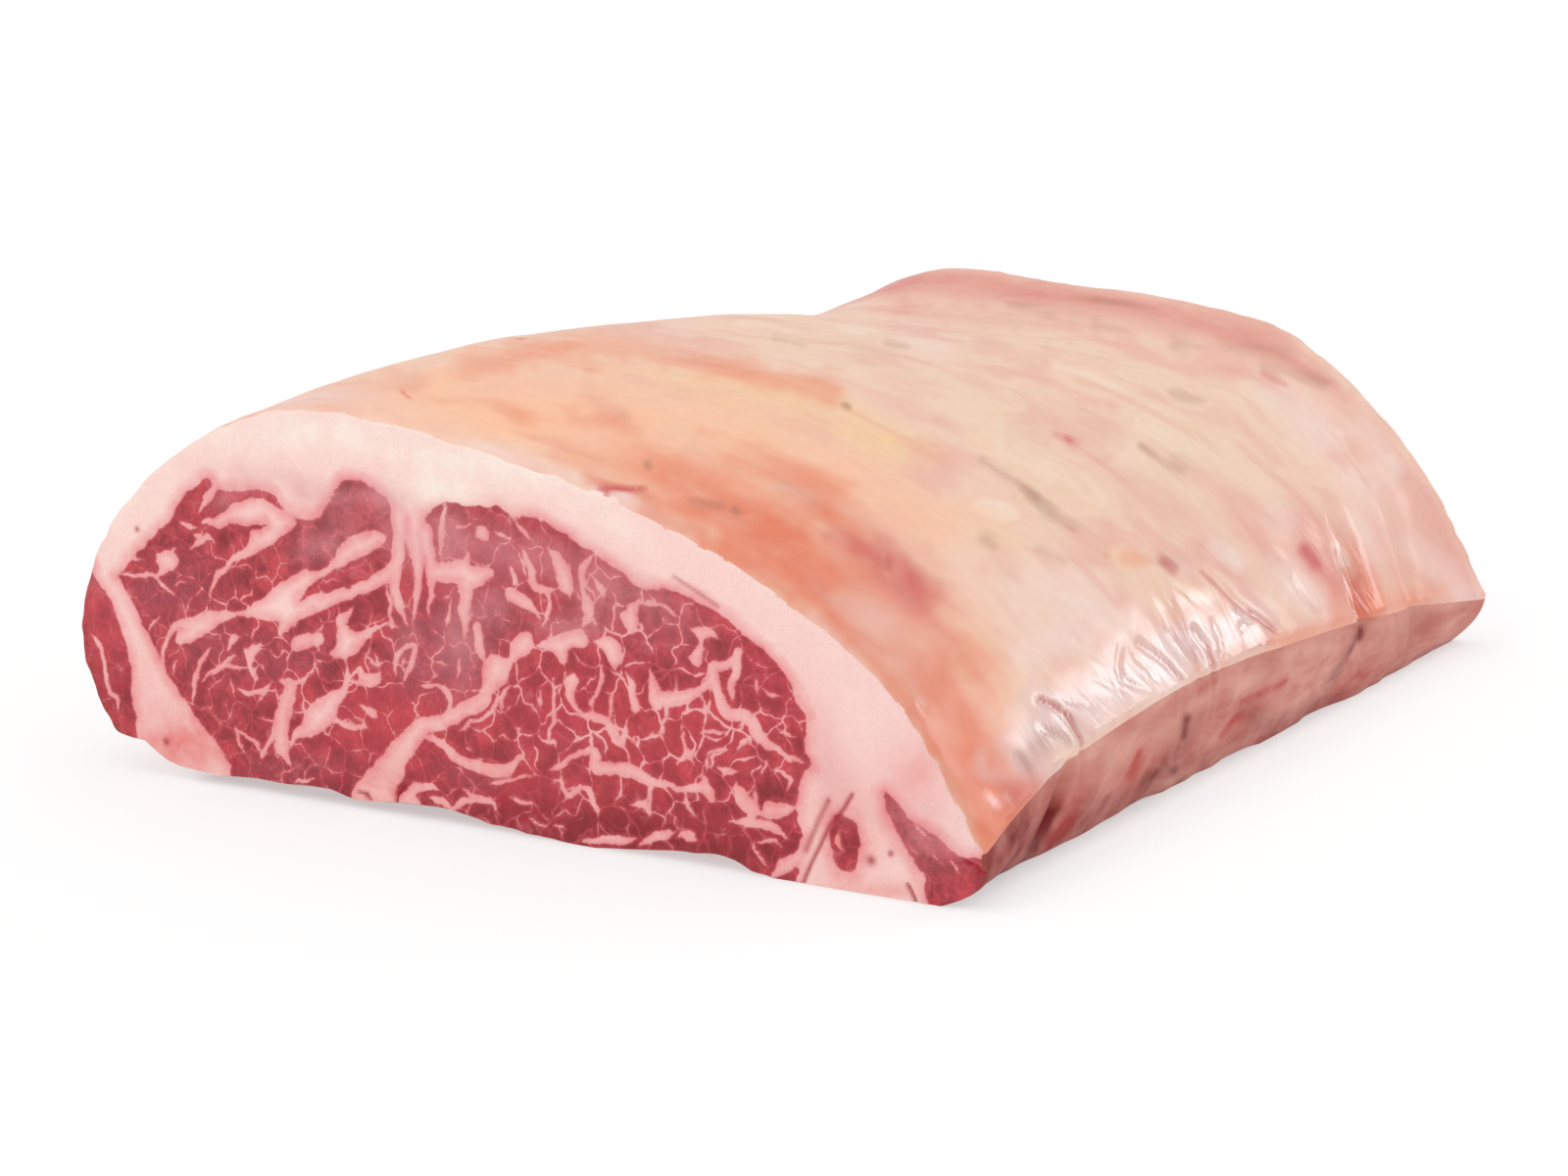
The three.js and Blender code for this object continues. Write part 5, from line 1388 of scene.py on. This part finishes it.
def trimmedFat():
    finish, tree, inMm = newFinish("trimmed_beef_fat")
    spec = fatSkin
    stainsAndPaintedLight = spec["stainsAndPaintedLight"]
    masks = readMasks(tree, (*stainsAndPaintedLight, "wet"))
    long, short = spec["streak"]
    streakPlace = addNode(tree, "ShaderNodeMapping", {
        0: inMm, "Rotation": (0, 0, math.radians(-45)), "Scale": (1 / long, 1 / short, 1 / long),
    })
    streaks = addNode(tree, "ShaderNodeTexNoise", {
        0: streakPlace, "Scale": 1, "Detail": 1.5, "Distortion": 0.3,
    })
    blotches = addNode(tree, "ShaderNodeTexNoise", {
        0: inMm, "Scale": 1 / spec["blotch"], "Detail": 2, "Roughness": 0.45, "Distortion": 0.3,
    })
    speckles = addNode(tree, "ShaderNodeTexNoise", {0: inMm, "Scale": 1 / spec["speckle"], "Detail": 2})
    mottle = addNode(tree, "ShaderNodeMath", {
        0: streaks, 1: spec["streakShare"], 2: blotches,
    }, operation="MULTIPLY_ADD")
    middle = (1 + spec["streakShare"]) / 2  # the mottle then runs from about -0.3 to 0.3
    mottle = addNode(tree, "ShaderNodeMath", {0: mottle, 1: middle}, operation="SUBTRACT")
    colour = addNode(tree, "ShaderNodeValToRGB", {0: blotches}, stops=spec["tones"])
    # the stains and the painted highlight and shade all get their edges torn by the mottle
    for name, layerColour in stainsAndPaintedLight.items():  # each stain's edge is torn by the mottle
        gate = addNode(tree, "ShaderNodeMath", {0: masks[name], 1: 6}, operation="MULTIPLY", use_clamp=True)
        torn = addNode(tree, "ShaderNodeMath", {0: gate, 1: mottle, 2: masks[name]}, operation="MULTIPLY_ADD")
        torn = addNode(tree, "ShaderNodeMapRange", {0: torn, 1: 0.03, 2: 1, 3: 0, 4: 1})
        colour = addNode(tree, "ShaderNodeMix", {0: torn, 6: colour, 7: hexColour(layerColour)}, data_type="RGBA")
    faint = addNode(tree, "ShaderNodeMapRange", {0: speckles, 1: 0.3, 2: 0.7, 3: 0.975, 4: 1.02})
    colour = addNode(tree, "ShaderNodeMix", {
        0: 1, 6: colour, 7: faint,
    }, data_type="RGBA", blend_type="MULTIPLY")
    vein = addNode(tree, "ShaderNodeMapRange", {
        0: streaks, 1: 0.6, 2: 0.74, 3: 0, 4: spec["vein"],
    }, interpolation_type="SMOOTHSTEP")
    colour = addNode(tree, "ShaderNodeMix", {
        0: vein, 6: colour, 7: hexColour(stainsAndPaintedLight["pink"]),
    }, data_type="RGBA")
    # the wet film crumples into small folds that slant down the tail
    long, short = spec["crumple"]
    crumple = addNode(tree, "ShaderNodeMapping", {
        0: inMm, "Rotation": (0, math.radians(38), 0), "Scale": (1 / long, 1 / short, 1 / long),
    })
    crumple = addNode(tree, "ShaderNodeTexNoise", {0: crumple, "Scale": 1, "Detail": 2, "Distortion": 0.7})
    wetHigh = addNode(tree, "ShaderNodeMath", {0: crumple, 1: masks["wet"]}, operation="MULTIPLY")
    soft = addNode(tree, "ShaderNodeMath", {0: speckles, 1: 0.3, 2: mottle}, operation="MULTIPLY_ADD")
    high = addNode(tree, "ShaderNodeMath", {0: wetHigh, 1: 1.5, 2: soft}, operation="MULTIPLY_ADD")
    bump = addNode(tree, "ShaderNodeBump", {
        "Height": high, "Strength": 0.7, "Distance": spec["bumpHigh"] * mm,
    })
    damp, soaked = spec["wetFrom"]
    gloss, coat = (
        addNode(tree, "ShaderNodeMapRange", {0: masks["wet"], 1: damp, 2: soaked, 3: dry, 4: wet})
        for dry, wet in (spec["roughness"], spec["coat"])
    )
    skin = addNode(tree, "ShaderNodeBsdfPrincipled", {
        "Base Color": colour, "Roughness": gloss, "Normal": bump, "Coat Weight": coat, **spec["surface"],
    })
    addNode(tree, "ShaderNodeOutputMaterial", {0: skin})
    return finish


# The outside of the lean, pulled and trimmed rather than sliced: mauve meat under a thin pale membrane, with
# soft bands of fibre that slant along it.
leanSkin = {
    "tones": [(0.3, "#b85d52"), (0.52, "#cf8578"), (0.72, "#e3a898")],  # meat, membrane, thick membrane
    # the dark layer is partly painted shade, along the foot of the sides and down the slits of the tail side
    "stainsAndPaintedLight": {"pale": "#e3a898", "red": "#bb3f39", "dark": "#7c2422"},
    "band": (26, 7), "cloud": 11, "bumpHigh": 0.8, "roughness": (0.45, 0.65),
    "surface": {
        "IOR": 1.36, "Specular IOR Level": 0.2, "Coat Weight": 0.06, "Coat Roughness": 0.2, "Coat IOR": 1.35,
    },
}


def membranedLean():
    finish, tree, inMm = newFinish("membraned_raw_lean")
    spec = leanSkin
    masks = readMasks(tree, spec["stainsAndPaintedLight"], "side_")
    long, short = spec["band"]
    bandPlace = addNode(tree, "ShaderNodeMapping", {
        0: inMm, "Rotation": (math.radians(28), 0, 0), "Scale": (1 / long, 1 / long, 1 / short),
    })
    bands = addNode(tree, "ShaderNodeTexNoise", {0: bandPlace, "Scale": 1, "Detail": 4, "Roughness": 0.6})
    clouds = addNode(tree, "ShaderNodeTexNoise", {
        0: inMm, "Scale": 1 / spec["cloud"], "Detail": 4, "Roughness": 0.6,
    })
    colour = addNode(tree, "ShaderNodeValToRGB", {0: bands}, stops=spec["tones"])
    mottle = addNode(tree, "ShaderNodeMapRange", {0: clouds, 1: 0.3, 2: 0.7, 3: 0.4, 4: 1.5})
    for name, layerColour in spec["stainsAndPaintedLight"].items():
        torn = addNode(tree, "ShaderNodeMath", {
            0: masks[name], 1: mottle,
        }, operation="MULTIPLY", use_clamp=True)
        colour = addNode(tree, "ShaderNodeMix", {0: torn, 6: colour, 7: hexColour(layerColour)}, data_type="RGBA")
    bump = addNode(tree, "ShaderNodeBump", {
        "Height": bands, "Strength": 0.7, "Distance": spec["bumpHigh"] * mm,
    })
    least, most = spec["roughness"]
    gloss = addNode(tree, "ShaderNodeMapRange", {0: clouds, 1: 0.3, 2: 0.7, 3: least, 4: most})
    skin = addNode(tree, "ShaderNodeBsdfPrincipled", {
        "Base Color": colour, "Roughness": gloss, "Normal": bump, **spec["surface"],
    })
    addNode(tree, "ShaderNodeOutputMaterial", {0: skin})
    return finish


# The underside, lifted off the finger bones: bare lean in long strips between pale strips of bone skin.
boneSide = {
    "tones": [(0.4, "#a9494f"), (0.6, "#dba8a0")],  # lean, bone skin
    "strip": (40, 18, 20), "bumpHigh": 1, "roughness": (0.35, 0.55),
    "surface": {"IOR": 1.4, "Coat Weight": 0.3, "Coat Roughness": 0.25, "Coat IOR": 1.35},
}


def boneSideMeat():
    finish, tree, inMm = newFinish("bone_side_meat")
    spec = boneSide
    stripPlace = addNode(tree, "ShaderNodeMapping", {0: inMm, "Scale": [1 / size for size in spec["strip"]]})
    strips = addNode(tree, "ShaderNodeTexNoise", {
        0: stripPlace, "Scale": 1, "Detail": 5, "Roughness": 0.6, "Distortion": 0.6,
    })
    colour = addNode(tree, "ShaderNodeValToRGB", {0: strips}, stops=spec["tones"])
    bump = addNode(tree, "ShaderNodeBump", {
        "Height": strips, "Strength": 0.6, "Distance": spec["bumpHigh"] * mm,
    })
    least, most = spec["roughness"]
    gloss = addNode(tree, "ShaderNodeMapRange", {0: strips, 1: 0.3, 2: 0.7, 3: least, 4: most})
    skin = addNode(tree, "ShaderNodeBsdfPrincipled", {
        "Base Color": colour, "Roughness": gloss, "Normal": bump, **spec["surface"],
    })
    addNode(tree, "ShaderNodeOutputMaterial", {0: skin})
    return finish


cutFinish, fatFinish, leanFinish, baseFinish = slicedBeef(), trimmedFat(), membranedLean(), boneSideMeat()
pieces = {  # the node each piece stands for, its record slot and the finish of its skin
    "fatCap": ("fat_cap", "fat", fatFinish),
    "marbledEye": ("eye_muscle", "marbled_lean", leanFinish),
    "chineSideMuscle": ("side_muscle", "lean", leanFinish),
    "innerTailMuscle": ("tail_muscle_inner", "lean", leanFinish),
    "outerTailMuscle": ("tail_muscle_outer", "lean", leanFinish),
}
for name, (node, slot, finish) in pieces.items():
    piece = tissues[name]
    markTissue(piece)
    partFaces(piece, finish, cutFinish, baseFinish, leanFinish)
    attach(piece, "root")
    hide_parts(node)
print("tissues finished")


studio = {
    "floor": 14.0, "floorColour": "#a2a2a2", "glow": (0.65, 0.82), "glowFrom": (0.3, 1.8), "sky": 0.66,
    "aimHigh": 0.04,
    # a painted shadow, the paper's glow dimmed over the meat's footprint: middle, half sizes, soft edge, glow
    "foot": ((0.012, 0, 0), (0.092, 0.136, 1), 0.009, 0.72),
    "lamps": {  # place in m, size in m, watts; each looks at the middle of the loin
        "rearWindow": ((0.72, 1.06, 0.52), (0.42, 0.34), 2.8),
        "frontFill": ((-0.5, -1.5, 1.0), (1.6, 1.0), 6.0),
        "overhead": ((-0.2, -0.2, 1.5), (1.4, 1.4), 6.0),
    },
}


def makeStudio():
    world = bpy.data.worlds.new("whiteRoom")
    world.use_nodes = True
    sky = world.node_tree.nodes["Background"]
    sky.inputs["Color"].default_value = (1, 1, 1, 1)
    sky.inputs["Strength"].default_value = studio["sky"]
    bpy.context.scene.world = world
    half = studio["floor"] / 2
    sheet = bpy.data.meshes.new("studioFloor")
    corners = [(-half, -half, 0), (half, -half, 0), (half, half, 0), (-half, half, 0)]
    sheet.from_pydata(corners, [], [(0, 1, 2, 3)])
    floor = bpy.data.objects.new("studioFloor", sheet)
    bpy.context.collection.objects.link(floor)
    finish = bpy.data.materials.new("white_backdrop_paper")
    finish.use_nodes = True
    tree = finish.node_tree
    paper = tree.nodes["Principled BSDF"]
    paper.inputs["Base Color"].default_value = hexColour(studio["floorColour"])
    paper.inputs["Roughness"].default_value = 0.9
    paper.inputs["Specular IOR Level"].default_value = 0.1
    paper.inputs["Emission Color"].default_value = (1, 1, 1, 1)
    place = addNode(tree, "ShaderNodeTexCoord").outputs["Object"]
    away = addNode(tree, "ShaderNodeVectorMath", {0: place}, operation="LENGTH").outputs["Value"]
    (near, far), (nearGlow, farGlow) = studio["glowFrom"], studio["glow"]
    glow = addNode(tree, "ShaderNodeMapRange", {
        0: away, 1: near, 2: far, 3: nearGlow, 4: farGlow,
    }, interpolation_type="SMOOTHSTEP")
    # painted shadow: the glow of the paper is dimmed over the meat's footprint
    middle, reach, soft, footGlow = studio["foot"]
    apart, none = place, (0, 0, 0)
    for step, other in (("SUBTRACT", middle), ("ABSOLUTE", none), ("SUBTRACT", reach), ("MAXIMUM", none)):
        apart = addNode(tree, "ShaderNodeVectorMath", {0: apart, 1: other}, operation=step).outputs["Vector"]
    apart = addNode(tree, "ShaderNodeVectorMath", {0: apart}, operation="LENGTH").outputs["Value"]
    under = addNode(tree, "ShaderNodeMapRange", {
        0: apart, 1: 0, 2: soft, 3: footGlow, 4: 1,
    }, interpolation_type="SMOOTHSTEP")
    glow = addNode(tree, "ShaderNodeMath", {0: glow, 1: under}, operation="MULTIPLY")
    # lit from behind, so that it is white to the horizon
    tree.links.new(glow.outputs[0], paper.inputs["Emission Strength"])
    sheet.materials.append(finish)
    for name, (place, size, watts) in studio["lamps"].items():
        light = bpy.data.lights.new(name, "AREA")
        light.shape = "RECTANGLE"
        light.size, light.size_y = size
        light.energy = watts
        lamp = bpy.data.objects.new(name, light)
        lamp.location = place
        atX, atY, atZ = place
        tilt = math.atan2(math.hypot(atX, atY), atZ - studio["aimHigh"])
        lamp.rotation_euler = (tilt, 0, math.atan2(atX, -atY))
        bpy.context.collection.objects.link(lamp)


makeStudio()
bpy.context.scene.view_settings.view_transform = "Standard"
print("studio lit")
